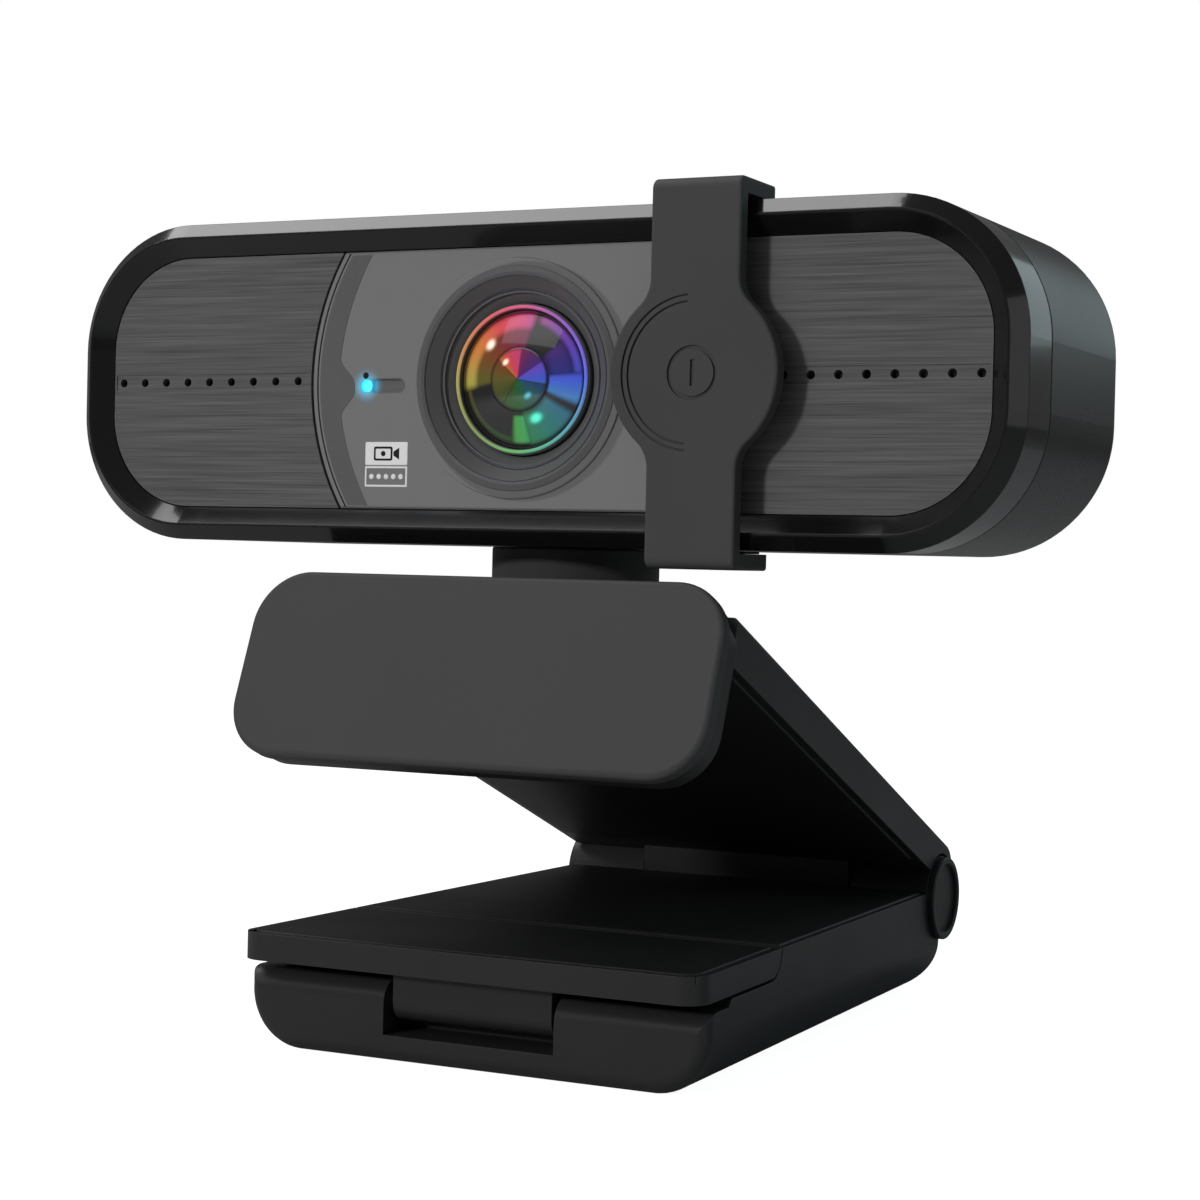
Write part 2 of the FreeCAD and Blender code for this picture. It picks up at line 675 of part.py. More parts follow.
def make_flap():
    plate = Piece("flap_plate", base_frame)
    front_half = base_half_width(b.flap_front - b.hinge_y)
    rear_half = base_half_width(b.flap_rear - b.hinge_y)
    plate.pad("XY", b.flap_bottom, d.base_height, lambda s: draw_outline(s, [
        (-front_half, b.flap_front), (front_half, b.flap_front),
        (rear_half, b.flap_rear), (-rear_half, b.flap_rear)]))
    at_front = flat_at("y", b.flap_front)
    plate.fillet(d.flap_corner, lambda edge: at_front(edge) and straight_along("z")(edge))
    rear_edge = every(flat_at("y", b.flap_rear), flat_at("z", b.flap_bottom))
    plate.fillet(d.flap_thickness - 0.3, rear_edge)
    axis = (b.flap_axis_y, b.flap_axis_z)
    tab_radius = size(1.9)
    tab_half = d.notch_half - 0.6
    plate.pad("YZ", -tab_half, tab_half, lambda s: draw_outline(s, [
        (axis[0] - tab_radius, axis[1], tab_radius, 1),
        (axis[0], axis[1] - tab_radius, tab_radius, 1),
        (axis[0] + tab_radius, axis[1]),
        (axis[0] + tab_radius, b.flap_bottom + 0.3),
        (axis[0] - tab_radius, b.flap_bottom + 0.3)]))
    plate.cut("YZ", -tab_half, tab_half,
              lambda s: draw_circle(s, *axis, d.flap_pin_radius + d.running_fit))
    inset = 0.75
    recess_floor = d.base_height - 0.7
    recess = (b.flap_front + inset, b.flap_rear - inset)
    plate.cut("XY", recess_floor, d.base_height, lambda s: draw_tapered(
        s, *recess, size(inset), b.hinge_y))
    pad = Piece("flap_pad", base_frame)
    pad.pad("XY", recess_floor, d.base_height + 0.15, lambda s: draw_tapered(
        s, recess[0] + d.seat_fit, recess[1] - d.seat_fit, inset + d.seat_fit, b.hinge_y))
    pad.fillet(d.flap_corner - inset, every(straight_along("z"), flat_at("y", recess[0] + d.seat_fit)))
    pad.fillet(0.2, flat_at("z", d.base_height + 0.15))
    pin = Piece("flap_pin", base_frame)
    half = base_half_width(b.front - b.hinge_y) - FLAP_PIN_HEAD_COVER - 0.2
    pin.pad("YZ", -half, half, lambda s: draw_circle(s, *axis, d.flap_pin_radius))


# ---------------------------------------------------------------- arm

ARM_RECESS_INSET = 0.9
ARM_PLATE_THICKNESS = 0.8
ARM_SCREW_HEAD = 1.7
ARM_SIDE_EDGE = 0.5
ARM_TAIL_EDGE = 3.0
LIP_PAD_SEAT = 0.5
LIP_PAD_PROUD = 0.15
LIP_PAD_INSET = 1.6
TILT_PIN_HEAD = 0.8
TILT_PIN_HEAD_THICKNESS = 0.7


def arm_levels():
    """Levels in the arm's frame, where the hinge axis is the origin and forward is -Y."""
    reach = d.base_length + d.lip_gap
    top = d.arm_offset + d.arm_thickness
    return SimpleNamespace(
        reach=reach,
        top=top,
        lip_low=-d.hinge_height,
        lip_high=top + d.lip_rise,
        core_front=-(reach + d.lip_thickness - d.lip_front_thickness),
        recess_front=-(reach - 0.9),
        recess_rear=-(d.barrel_radius + 5.0),
        recess_top=d.arm_offset + d.pad_thickness + ARM_PLATE_THICKNESS - 0.2,
    )


def draw_lip(sketch, inset, low, high):
    half = d.lip_width / 2 - inset
    middle, reach = (low + high) / 2, (high - low) / 2
    draw_rounded(sketch, size(0), middle, half, reach, d.lip_corner - inset)


def draw_lip_pad(sketch, inset):
    draw_lip(sketch, inset + LIP_PAD_INSET, a.lip_low + 1.3, d.arm_offset - 1.0)


def make_arm_shell():
    shell = Piece("arm_shell", arm_frame)
    shell.pad("XY", d.arm_offset, a.top, lambda s: draw_tapered(
        s, -(a.reach + 0.4), d.arm_tail, size(0), size(0)))
    shell.fillet(ARM_TAIL_EDGE, every(flat_at("y", d.arm_tail), flat_at("z", a.top)))
    shell.fillet(ARM_SIDE_EDGE, every(flat_at("z", a.top), within("y", -a.reach + 0.1, d.arm_tail)))
    whole = d.base_front_width
    shell.cut("YZ", -whole, whole,
              lambda s: draw_circle(s, 0, 0, d.barrel_radius + d.barrel_gap))
    shell.cut("XY", d.arm_offset, a.recess_top, lambda s: draw_tapered(
        s, a.recess_front, a.recess_rear, size(ARM_RECESS_INSET), size(0)))
    shell.pad("YZ", -d.knuckle_half, d.knuckle_half,
              lambda s: draw_circle(s, 0, 0, d.barrel_radius))
    shell.pad("YZ", -d.knuckle_half, d.knuckle_half, lambda s: draw_outline(s, [
        (d.barrel_radius * -0.86, d.barrel_radius * -0.5),
        (0, 0),
        (d.barrel_radius * 0.6, d.arm_offset + 1.2),
        (-d.barrel_radius * 1.28, d.arm_offset + 1.2),
        (-d.barrel_radius * 1.28, d.arm_offset)]))
    shell.pad("XZ", a.core_front, -a.reach,
              lambda s: draw_lip(s, size(0.3), a.lip_low + 0.3, a.lip_high - 0.3))
    shell.cut("XZ", -(a.reach + LIP_PAD_SEAT), -a.reach, lambda s: draw_lip_pad(s, size(0)))
    add_tilt_ears(shell)
    shell.cut("YZ", -d.knuckle_half, d.knuckle_half,
              lambda s: draw_circle(s, 0, 0, d.hinge_pin_radius + d.running_fit))
    shell.cut("XY", a.recess_top, a.recess_top + 2.2,
              lambda s: draw_circles(s, arm_screw_places(), 0.72))


def add_tilt_ears(shell):
    """Two ears on the arm's top that hold the tilt pin, with a gap for the neck's lug."""
    y, z = -d.tilt_reach, d.tilt_offset
    inner = d.yoke_half + d.side_gap
    outer = inner + d.ear_thickness
    for low, high in ((-outer, -inner), (inner, outer)):
        shell.pad("YZ", low, high, lambda s: draw_outline(s, [
            (y + d.ear_radius, a.top - 0.5),
            (y + d.ear_radius, z, d.ear_radius, 1),
            (y, z + d.ear_radius, d.ear_radius, 1),
            (y - d.ear_radius, z),
            (y - d.ear_radius, a.top - 0.5)]))
    shell.cut("YZ", -outer, outer,
              lambda s: draw_circle(s, y, z, d.tilt_pin_radius + d.pin_fit))


def arm_screw_places():
    return four_corners(d.base_rear_width / 2 - 5, a.recess_front + 8, a.recess_rear - 6)


def make_arm_inside():
    plate_low = a.recess_top - ARM_PLATE_THICKNESS
    plate = Piece("arm_plate", arm_frame)
    plate.pad("XY", plate_low, a.recess_top - d.seat_fit, lambda s: draw_tapered(
        s, a.recess_front + 0.1, a.recess_rear - 0.1, size(ARM_RECESS_INSET + 0.1), size(0)))
    plate.cut("XY", plate_low, a.recess_top,
              lambda s: draw_circles(s, arm_screw_places(), 1.0))
    plate.cut("XY", plate_low, plate_low + SCREW_HEAD_HEIGHT,
              lambda s: draw_circles(s, arm_screw_places(), ARM_SCREW_HEAD + 0.1))
    make_screws("arm_screws", arm_frame, "XY", arm_screw_places(),
                plate_low + SCREW_HEAD_HEIGHT, a.recess_top + 2.0,
                size(ARM_SCREW_HEAD), size(SCREW_HEAD_HEIGHT - 0.05), size(0.7))
    pad = Piece("arm_pad", arm_frame)
    pad_low = plate_low - d.seat_fit - d.pad_thickness
    inset = size(ARM_RECESS_INSET) + d.seat_fit
    pad.pad("XY", pad_low, plate_low - d.seat_fit, lambda s: draw_tapered(
        s, a.recess_front + d.seat_fit, a.recess_rear - d.seat_fit, inset, size(0)))
    pad.fillet(0.2, flat_at("z", pad_low))


def make_lip():
    front = Piece("lip_front", arm_frame)
    nose = -(a.reach + d.lip_thickness)
    front.pad("XZ", nose, a.core_front - d.seat_fit,
              lambda s: draw_lip(s, size(0), a.lip_low, a.lip_high))
    front.fillet(0.55, flat_at("y", nose))
    pad = Piece("lip_pad", arm_frame)
    rear = -a.reach + LIP_PAD_PROUD
    pad.pad("XZ", -(a.reach + LIP_PAD_SEAT) + d.seat_fit, rear, lambda s: draw_lip_pad(s, d.seat_fit))
    pad.fillet(0.2, flat_at("y", rear))
    pin = Piece("tilt_pin", arm_frame)
    half = d.yoke_half + d.side_gap + d.ear_thickness
    pin.pad("YZ", -half, half,
            lambda s: draw_circle(s, -d.tilt_reach, d.tilt_offset, d.tilt_pin_radius))
    for end in (-half, half):
        head = TILT_PIN_HEAD_THICKNESS
        low, high = (end - head, end) if end.value < 0 else (end, end + head)
        pin.pad("YZ", low, high,
                lambda s: draw_circle(s, -d.tilt_reach, d.tilt_offset, d.tilt_pin_radius + TILT_PIN_HEAD))


# ---------------------------------------------------------------- neck

PAN_SCREW_RADIUS = 1.25
PAN_WASHER_RADIUS = 5.0
PAN_WASHER_THICKNESS = 0.8
WAVE_GAP = 0.3


def make_neck():
    """The lug on the tilt pin, the disc under the head and the pivot that the head pans on."""
    disc_top = d.neck_rise - d.running_fit
    disc_low = disc_top - d.neck_disc_height
    pivot_top = d.neck_rise + d.head_wall + WAVE_GAP
    radius = d.ear_radius + 0.2
    neck = Piece("neck_yoke", neck_frame)
    neck.pad("XY", disc_low, disc_top, lambda s: draw_circle(s, 0, 0, d.neck_radius))
    neck.fillet(0.25, lambda edge: True)
    neck.pad("YZ", -d.yoke_half, d.yoke_half, lambda s: draw_outline(s, [
        (-radius, 0, radius, 1), (0, -radius, radius, 1), (radius, 0),
        (radius, disc_low + 0.5), (-radius, disc_low + 0.5)]))
    neck.pad("XY", disc_top - 0.5, pivot_top, lambda s: draw_circle(s, 0, 0, d.pivot_radius))
    neck.cut("YZ", -d.yoke_half, d.yoke_half,
             lambda s: draw_circle(s, 0, 0, d.tilt_pin_radius + d.running_fit))
    neck.cut("XY", pivot_top - 8, pivot_top,
             lambda s: draw_circle(s, 0, 0, PAN_SCREW_RADIUS + d.pin_fit))
    wave = Piece("pan_spring_washer", neck_frame)
    wave_low = d.neck_rise + d.head_wall + d.running_fit
    wave.pad("XY", wave_low, pivot_top - d.running_fit,
             lambda s: draw_circle(s, 0, 0, PAN_WASHER_RADIUS - 0.2))
    wave.cut("XY", wave_low, pivot_top, lambda s: draw_circle(s, 0, 0, d.pivot_radius + 0.1))
    washer = Piece("pan_washer", neck_frame)
    washer_top = pivot_top + PAN_WASHER_THICKNESS
    washer.pad("XY", pivot_top, washer_top, lambda s: draw_circle(s, 0, 0, PAN_WASHER_RADIUS))
    washer.cut("XY", pivot_top, washer_top, lambda s: draw_circle(s, 0, 0, PAN_SCREW_RADIUS + 0.1))
    make_screws("pan_screw", neck_frame, "XY", [(0, 0)], washer_top, pivot_top - 7.5,
                size(2.4), size(1.5), size(PAN_SCREW_RADIUS))


# ---------------------------------------------------------------- head

CASE_SCREW_X = 41.0
CASE_SCREW_Z = 7.6
BOARD_SCREW_X = 30.0
CASE_SCREW_HEAD = 1.9
CASE_SCREW_SHANK = 0.8
GLAND_X = 0.0
GLAND_Z = -4.0
GLAND_RADIUS = 3.0
GLAND_BORE = 1.9
GLAND_FLANGE = 4.0
REAR_WALL_EXTRA = 0.6
CASE_SCREW_LENGTH = 8.5
BOARD_POST_RADIUS = 1.8
BOARD_SCREW_SHANK = 0.7
MIC_PORT = 0.9


def head_levels():
    """Levels in the head's frame, where the rim's plane is y = 0 and the lens axis x = z = 0."""
    recess_floor = d.bezel_bevel + d.panel_thickness + 0.05
    return SimpleNamespace(
        half_width=d.head_width / 2,
        half_height=d.head_height / 2,
        recess_floor=recess_floor,
        web_back=recess_floor + d.face_web,
        cover_front=d.bezel_depth + d.shell_gap,
        board_low=-(d.head_height / 2 - 7.2),
        board_high=d.head_height / 2 - 4.6,
    )


def draw_head(sketch, inset):
    draw_rounded(sketch, size(0), size(0), h.half_width - inset, h.half_height - inset,
                 d.head_corner - inset)


def case_screw_places():
    return four_corners(size(CASE_SCREW_X), size(-CASE_SCREW_Z), size(CASE_SCREW_Z))


def board_screw_places():
    return four_corners(size(BOARD_SCREW_X), h.board_low + 2.2, h.board_high - 2.2)


def mic_places(side):
    """Nine holes in a row, for the left (-1) or right (1) panel."""
    return [(side * (d.mic_first + d.mic_pitch * step), size(0)) for step in range(9)]


def capsule_places():
    """The two holes, one a side, that have a microphone behind them."""
    return [mic_places(side)[4] for side in (-1, 1)]


def on_outline(inset):
    """Test for edges that touch the head's outline moved inwards."""
    half_x = (h.half_width - inset).value
    half_z = (h.half_height - inset).value

    def test(edge):
        points = [vertex.Point for vertex in edge.Vertexes]
        return all(abs(abs(p.x) - half_x) < TOLERANCE or abs(abs(p.z) - half_z) < TOLERANCE
                   for p in points)
    return test


def make_front_bezel():
    bezel = Piece("front_bezel", head_frame)
    bezel.pad("XZ", 0, d.bezel_depth, lambda s: draw_head(s, size(0)))
    bezel.cut("XZ", 0, h.recess_floor, lambda s: draw_head(s, d.face_inset))
    bezel.cut("XZ", h.web_back, d.bezel_depth, lambda s: draw_head(s, d.head_wall))
    bezel.chamfer(d.bezel_chamfer, every(flat_at("y", 0), on_outline(size(0))))
    bezel.chamfer(d.bezel_bevel, every(flat_at("y", 0), on_outline(d.face_inset)))
    bezel.cut("XZ", h.recess_floor, h.web_back,
              lambda s: draw_circle(s, 0, 0, d.ring_radius - 0.2 + d.seat_fit))
    bezel.cut("XZ", h.recess_floor, h.web_back, lambda s: draw_circle(s, d.led_x, d.led_z, 0.6))
    bezel.cut("XZ", h.recess_floor, h.web_back, lambda s: draw_circles(
        s, capsule_places(), MIC_PORT))
    bezel.cut("XZ", h.recess_floor, h.web_back,
              lambda s: draw_circles(s, case_screw_places(), CASE_SCREW_SHANK + 0.25))
    bezel.cut("XZ", h.recess_floor, h.recess_floor + SCREW_HEAD_HEIGHT + 0.1,
              lambda s: draw_circles(s, case_screw_places(), CASE_SCREW_HEAD + 0.1))
    bezel.pad("XZ", h.web_back, d.board_depth,
              lambda s: draw_circles(s, board_screw_places(), BOARD_POST_RADIUS))
    bezel.cut("XZ", d.board_depth - 6, d.board_depth,
              lambda s: draw_circles(s, board_screw_places(), BOARD_SCREW_SHANK + d.pin_fit))


def make_rear_cover():
    cover = Piece("rear_cover", head_frame)
    cover.pad("XZ", h.cover_front, d.head_depth, lambda s: draw_head(s, size(0)))
    cover.fillet(d.head_rear_edge, flat_at("y", d.head_depth))
    cover.fillet(0.25, every(flat_at("y", h.cover_front), on_outline(size(0))))
    floor_y = d.head_depth - d.head_wall - REAR_WALL_EXTRA
    cover.cut("XZ", h.cover_front, floor_y, lambda s: draw_head(s, d.head_wall))
    cover.pad("XZ", h.web_back + d.seat_fit, floor_y + 0.5,
              lambda s: draw_circles(s, case_screw_places(), POST_RADIUS))
    cover.cut("XZ", h.web_back + d.seat_fit, h.web_back + CASE_SCREW_LENGTH + 0.5,
              lambda s: draw_circles(s, case_screw_places(), CASE_SCREW_SHANK + d.pin_fit))
    cover.cut("XY", -h.half_height, -h.half_height + d.head_wall,
              lambda s: draw_circle(s, 0, d.neck_setback, d.pivot_radius + d.running_fit))
    cover.cut("XZ", floor_y, d.head_depth,
              lambda s: draw_circle(s, GLAND_X, GLAND_Z, GLAND_RADIUS))
    gland = Piece("cable_gland", head_frame)
    reach = d.head_depth - floor_y
    bore, neck = size(GLAND_BORE), GLAND_RADIUS - d.seat_fit
    gland.revolve(lambda s: draw_outline(s, [
        (bore, floor_y - 0.9), (size(GLAND_FLANGE), floor_y - 0.9),
        (size(GLAND_FLANGE), floor_y - d.seat_fit), (neck, floor_y - d.seat_fit),
        (neck, floor_y + reach + d.seat_fit), (size(3.6), floor_y + reach + d.seat_fit),
        (size(3.3), floor_y + reach + 1.0), (bore, floor_y + reach + 1.0)]))
    gland.body.setExpression(".Placement.Base.z", (head_frame.origin[2] + GLAND_Z).text)


def panel_arc_end(inset):
    """Where a side panel's arc meets a level near the panel's top edge."""
    level = h.half_height - d.face_inset - inset
    centre = d.panel_arc - d.panel_arc_reach
    return level, root(d.panel_arc * d.panel_arc - level * level) - centre


def make_side_panel(word, side):
    """Brushed panel with an arc towards the lens and a row of microphone holes."""
    panel = Piece(f"panel_{word}", head_frame)
    gap = size(0.1)
    level, arc_x = panel_arc_end(gap)
    end_x = h.half_width - d.face_inset - gap
    corner = d.head_corner - d.face_inset - gap
    front, back = d.bezel_bevel + 0.05, h.recess_floor - d.seat_fit

    def draw(sketch):
        draw_outline(sketch, [
            (side * arc_x, side * -level),
            (side * (end_x - corner), side * -level, corner, 1),
            (side * end_x, side * -(level - corner)),
            (side * end_x, side * (level - corner), corner, 1),
            (side * (end_x - corner), side * level),
            (side * arc_x, side * level, d.panel_arc, -1)])
    panel.pad("XZ", front, back, draw)
    inner_end, outer_end = d.panel_arc_reach + 0.6, end_x - 0.2
    low, high = (inner_end, outer_end) if side > 0 else (-outer_end, -inner_end)
    panel.cut("XZ", front, front + 0.12, lambda s: draw_box(s, low, -0.78, high, 0.78))
    panel.cut("XZ", front, back, lambda s: draw_circles(s, mic_places(side), d.mic_hole_radius))


def make_fascia():
    """Gloss centre panel between the two arcs, with the lens opening and the light's slot."""
    fascia = Piece("centre_fascia", head_frame)
    gap = size(0.1)
    level, arc_x = panel_arc_end(gap)
    edge_x = arc_x - 0.22
    front, back = d.bezel_bevel - 0.05, h.recess_floor - d.seat_fit
    fascia.pad("XZ", front, back, lambda s: draw_outline(s, [
        (-edge_x, -level), (edge_x, -level, d.panel_arc, 1),
        (edge_x, level), (-edge_x, level, d.panel_arc, 1)]))
    fascia.chamfer(0.2, flat_at("y", front))
    boss = front - FASCIA_BOSS_RISE
    fascia.pad("XZ", boss, front + 0.3, lambda s: draw_circle(s, 0, 0, d.ring_radius + FASCIA_BOSS))
    fascia.fillet(0.15, flat_at("y", boss))
    fascia.cut("XZ", boss, back, lambda s: draw_circle(s, 0, 0, d.ring_radius - 0.2 + d.seat_fit))
    slot_end = d.led_x + 4.2
    fascia.cut("XZ", front, front + 0.35, lambda s: draw_outline(s, [
        (d.led_x + 0.7, d.led_z - 0.6), (slot_end - 0.6, d.led_z - 0.6, size(0.6), 1),
        (slot_end, d.led_z, size(0.6), 1), (slot_end - 0.6, d.led_z + 0.6),
        (d.led_x + 0.7, d.led_z + 0.6)]))
    fascia.cut("XZ", front, back, lambda s: draw_circle(s, d.led_x, d.led_z, 0.6))


LENS_FLAT = 0.15  # Radius of the polished flat at the middle of a lens.
FRONT_SPHERE = 17.0
SECOND_SPHERE = 5.5
LENS_SETBACK = 0.55  # Barrel's front behind the fascia.
LENS_SEAT_DEPTH = 1.5
FASCIA_BOSS = 1.1  # Raised ring of the fascia round the lens ring.
FASCIA_BOSS_RISE = 0.2


def lens_sag(sphere, radius):
    """Depth of a lens's curved face, from the flat at its middle out to a radius."""
    ball = size(sphere ** 2)
    return root(ball - LENS_FLAT ** 2) - root(ball - radius * radius)


def make_lens():
    """Lens ring, barrel, three lenses and a baffle, all turned about the lens axis."""
    front = d.bezel_bevel - 0.05
    tube = d.ring_radius - 0.2
    opening = d.barrel_front_radius + 0.12
    ring = Piece("lens_ring", head_frame)
    ring.revolve(lambda s: draw_outline(s, [
        (opening, front + 1.9), (d.funnel_radius - 0.35, front + 1.15),
        (d.funnel_radius - 0.35, front + 0.85), (d.funnel_radius, front + 0.85),
        (tube - 0.45, front - 0.3), (tube - 0.05, front - 0.45), (d.ring_radius + 0.35, front - 0.25),
        (d.ring_radius + 0.35, front - 0.22), (tube, front - 0.22),
        (tube, h.web_back + 0.1), (tube - 0.9, h.web_back + 0.1), (opening, front + 2.6)]))
    lens_front = front + LENS_SETBACK
    seat = lens_front + LENS_SEAT_DEPTH
    bore = d.barrel_body_radius - 0.65
    barrel = Piece("lens_barrel", head_frame)
    barrel_back = d.board_depth - 1.9
    barrel.revolve(lambda s: draw_outline(s, [
        (d.lens_radius + 0.05, lens_front + 0.75), (d.barrel_front_radius - 0.25, lens_front + 0.55),
        (d.barrel_front_radius, lens_front + 0.8), (d.barrel_front_radius, seat + 1.2),
        (d.barrel_body_radius, seat + 1.2), (d.barrel_body_radius, barrel_back),
        (d.rear_lens_radius + 0.05, barrel_back), (d.rear_lens_radius + 0.05, seat + 3.4),
        (bore, seat + 3.4), (bore, seat + 0.75), (d.lens_radius + 0.05, seat + 0.75)]))
    lens = Piece("front_lens", head_frame)
    sphere, apex = FRONT_SPHERE, lens_front - 0.15
    lens.revolve(lambda s: draw_outline(s, [
        (size(LENS_FLAT), apex), (size(0), apex), (size(0), seat + 0.7), (d.lens_radius, seat + 0.7),
        (d.lens_radius, apex + lens_sag(sphere, d.lens_radius), size(sphere), 1)]))
    baffle = Piece("lens_baffle", head_frame)
    baffle.revolve(lambda s: draw_outline(s, [
        (bore - 0.3, seat + 0.85), (bore - 0.05, seat + 0.85), (bore - 0.05, seat + 3.3),
        (d.inner_lens_radius + 0.05, seat + 3.3), (d.inner_lens_radius + 0.05, seat + 1.9)]))
    sphere, apex = SECOND_SPHERE, seat + 1.0
    second = Piece("second_lens", head_frame)
    second.revolve(lambda s: draw_outline(s, [
        (size(LENS_FLAT), apex), (size(0), apex), (size(0), seat + 3.2),
        (d.inner_lens_radius, seat + 3.2),
        (d.inner_lens_radius, apex + lens_sag(sphere, d.inner_lens_radius), size(sphere), 1)]))
    rear = Piece("rear_lens", head_frame)
    rear.revolve(lambda s: draw_outline(s, [
        (size(0), seat + 4.0), (d.rear_lens_radius, seat + 4.4), (d.rear_lens_radius, barrel_back - 1),
        (size(0), barrel_back - 1)]))
    make_sensor(barrel_back)


def make_sensor(barrel_back):
    """Holder on the board, infrared filter and image sensor behind the barrel."""
    holder_half = d.barrel_body_radius + 2.4
    holder_front = barrel_back - 4.0
    holder = Piece("lens_holder", head_frame)
    holder.pad("XZ", holder_front, d.board_depth - d.seat_fit,
               lambda s: draw_box(s, -holder_half, -holder_half, holder_half, holder_half))
    holder.fillet(1.0, straight_along("y"))
    holder.cut("XZ", holder_front, barrel_back + 0.1,
               lambda s: draw_circle(s, 0, 0, d.barrel_body_radius + 0.05))
    filter_half = size(4.4)
    holder.cut("XZ", barrel_back + 0.1, d.board_depth,
               lambda s: draw_box(s, -5.2, -5.2, 5.2, 5.2))
    glass = Piece("infrared_filter", head_frame)
    glass.pad("XZ", barrel_back + 0.15, barrel_back + 0.55,
              lambda s: draw_box(s, -filter_half, -filter_half, filter_half, filter_half))
    sensor = Piece("image_sensor", head_frame)
    sensor.pad("XZ", d.board_depth - 0.95, d.board_depth - 0.02,
               lambda s: draw_box(s, -3.6, -3.1, 3.6, 3.1))


def make_electronics():
    board_back = d.board_depth + d.board_thickness
    board = Piece("main_board", head_frame)
    board.pad("XZ", d.board_depth, board_back, lambda s: draw_box(
        s, -d.board_half_width, h.board_low, d.board_half_width, h.board_high))
    board.cut("XZ", d.board_depth, board_back,
              lambda s: draw_circles(s, board_screw_places(), 1.0))
    make_screws("board_screws", head_frame, "XZ", board_screw_places(), board_back + 0.02,
                d.board_depth - 5.5, size(1.7), size(1.0), size(BOARD_SCREW_SHANK))
    can = Piece("shield_can", head_frame)
    can.pad("XZ", board_back + 0.02, board_back + 2.2, lambda s: draw_rounded(
        s, size(-15), size(1.0), size(10), size(6), size(0.8)))
    socket = Piece("cable_socket", head_frame)
    socket.pad("XZ", board_back + 0.02, board_back + 4.6, lambda s: draw_box(s, 9, -2.5, 19, 2.5))
    socket.cut("XZ", board_back + 1.2, board_back + 4.6, lambda s: draw_box(s, 9.8, -1.7, 18.2, 1.7))
    light = Piece("light_pipe", head_frame)
    light.pad("XZ", d.bezel_bevel + 0.05, d.board_depth - 1.3,
              lambda s: draw_circle(s, d.led_x, d.led_z, 0.52))
    light.fillet(0.3, flat_at("y", d.bezel_bevel + 0.05))
    led = Piece("status_led", head_frame)
    led.pad("XZ", d.board_depth - 1.2, d.board_depth - 0.02, lambda s: draw_box(
        s, d.led_x - 1.0, d.led_z - 0.6, d.led_x + 1.0, d.led_z + 0.6))
    boots = Piece("mic_boots", head_frame)
    mics = capsule_places()
    boots.pad("XZ", h.web_back + 0.05, h.web_back + 3.0, lambda s: draw_circles(s, mics, 3.0))
    boots.cut("XZ", h.web_back + 0.8, h.web_back + 3.0, lambda s: draw_circles(s, mics, 2.1))
    boots.cut("XZ", h.web_back + 0.05, h.web_back + 0.8, lambda s: draw_circles(s, mics, 0.7))
    capsules = Piece("mic_capsules", head_frame)
    capsules.pad("XZ", h.web_back + 0.85, h.web_back + 2.8, lambda s: draw_circles(s, mics, 2.05))
    make_screws("case_screws", head_frame, "XZ", case_screw_places(),
                h.recess_floor + SCREW_HEAD_HEIGHT + 0.1, h.web_back + CASE_SCREW_LENGTH,
                size(CASE_SCREW_HEAD), size(SCREW_HEAD_HEIGHT), size(CASE_SCREW_SHANK))


# ---------------------------------------------------------------- privacy cover

def make_privacy_cover():
    """A strap over the head's front with a disc and two hooks, which slides along the head."""
    outer = h.half_height + d.cover_fit + d.cover_thickness
    inner = h.half_height + d.cover_fit
    front = -(d.cover_standoff + d.cover_thickness)
    back = -d.cover_standoff
    cover = Piece("privacy_cover", cover_frame)
    cover.pad("XZ", front, back, lambda s: draw_box(s, -d.cover_half, -outer, d.cover_half, outer))
    cover.pad("XZ", front, back, lambda s: draw_circle(s, 0, 0, d.cover_disc))
    waist = root(d.cover_disc * d.cover_disc - d.cover_half * d.cover_half).value

    def at_waist(edge):
        middle = edge.discretize(3)[1]
        on_strap = abs(abs(middle.x) - d.cover_half.value) < TOLERANCE
        return on_strap and abs(abs(middle.z) - waist) < TOLERANCE
    cover.fillet(3.2, every(straight_along("y"), at_waist))
    for low, high in ((inner, outer), (-outer, -inner)):
        cover.pad("XZ", back - 0.2, d.cover_hook,
                  lambda s, z0=low, z1=high: draw_box(s, -d.cover_half, z0, d.cover_half, z1))
    corner_top = every(flat_at("y", front), flat_at("z", outer))
    corner_low = every(flat_at("y", front), flat_at("z", -outer))
    cover.fillet(1.0, lambda edge: corner_top(edge) or corner_low(edge))
    cover.fillet(0.3, every(flat_at("y", front), within("z", -outer + 1.01, outer - 1.01)))
    engrave_disc(cover, front)
    felts = Piece("cover_felts", cover_frame)
    for side in (-1, 1):
        low, high = h.half_height + 0.05, inner - 0.02
        ends = (low, high) if side > 0 else (-high, -low)
        felts.pad("XY", *ends, lambda s: draw_box(
            s, -d.cover_half + 0.5, 1.8, d.cover_half - 0.5, d.cover_hook - 0.5))


def engrave_disc(cover, front):
    """Two half rings on the disc's left half and a ringed bar in its middle."""
    depth = 0.22
    for radius in (d.cover_disc - line_inset for line_inset in (1.15, 1.75)):
        cover.cut("XZ", front, front + depth, lambda s, r=radius: draw_outline(s, [
            (size(-0.6), r, r, 1), (-r, size(0), r, 1), (size(-0.6), -r),
            (size(-0.6), -(r - 0.22), r - 0.22, -1),
            (-(r - 0.22), size(0), r - 0.22, -1), (size(-0.6), r - 0.22)]))
    ring, line = 2.5, 0.42

    def draw_ring(sketch):
        draw_circle(sketch, 0, 0, ring)
        draw_circle(sketch, 0, 0, ring - line)
    cover.cut("XZ", front, front + depth, draw_ring)
    cover.cut("XZ", front, front + depth, lambda s: draw_box(s, -line / 2, -1.2, line / 2, 1.2))


# ---------------------------------------------------------------- assembly

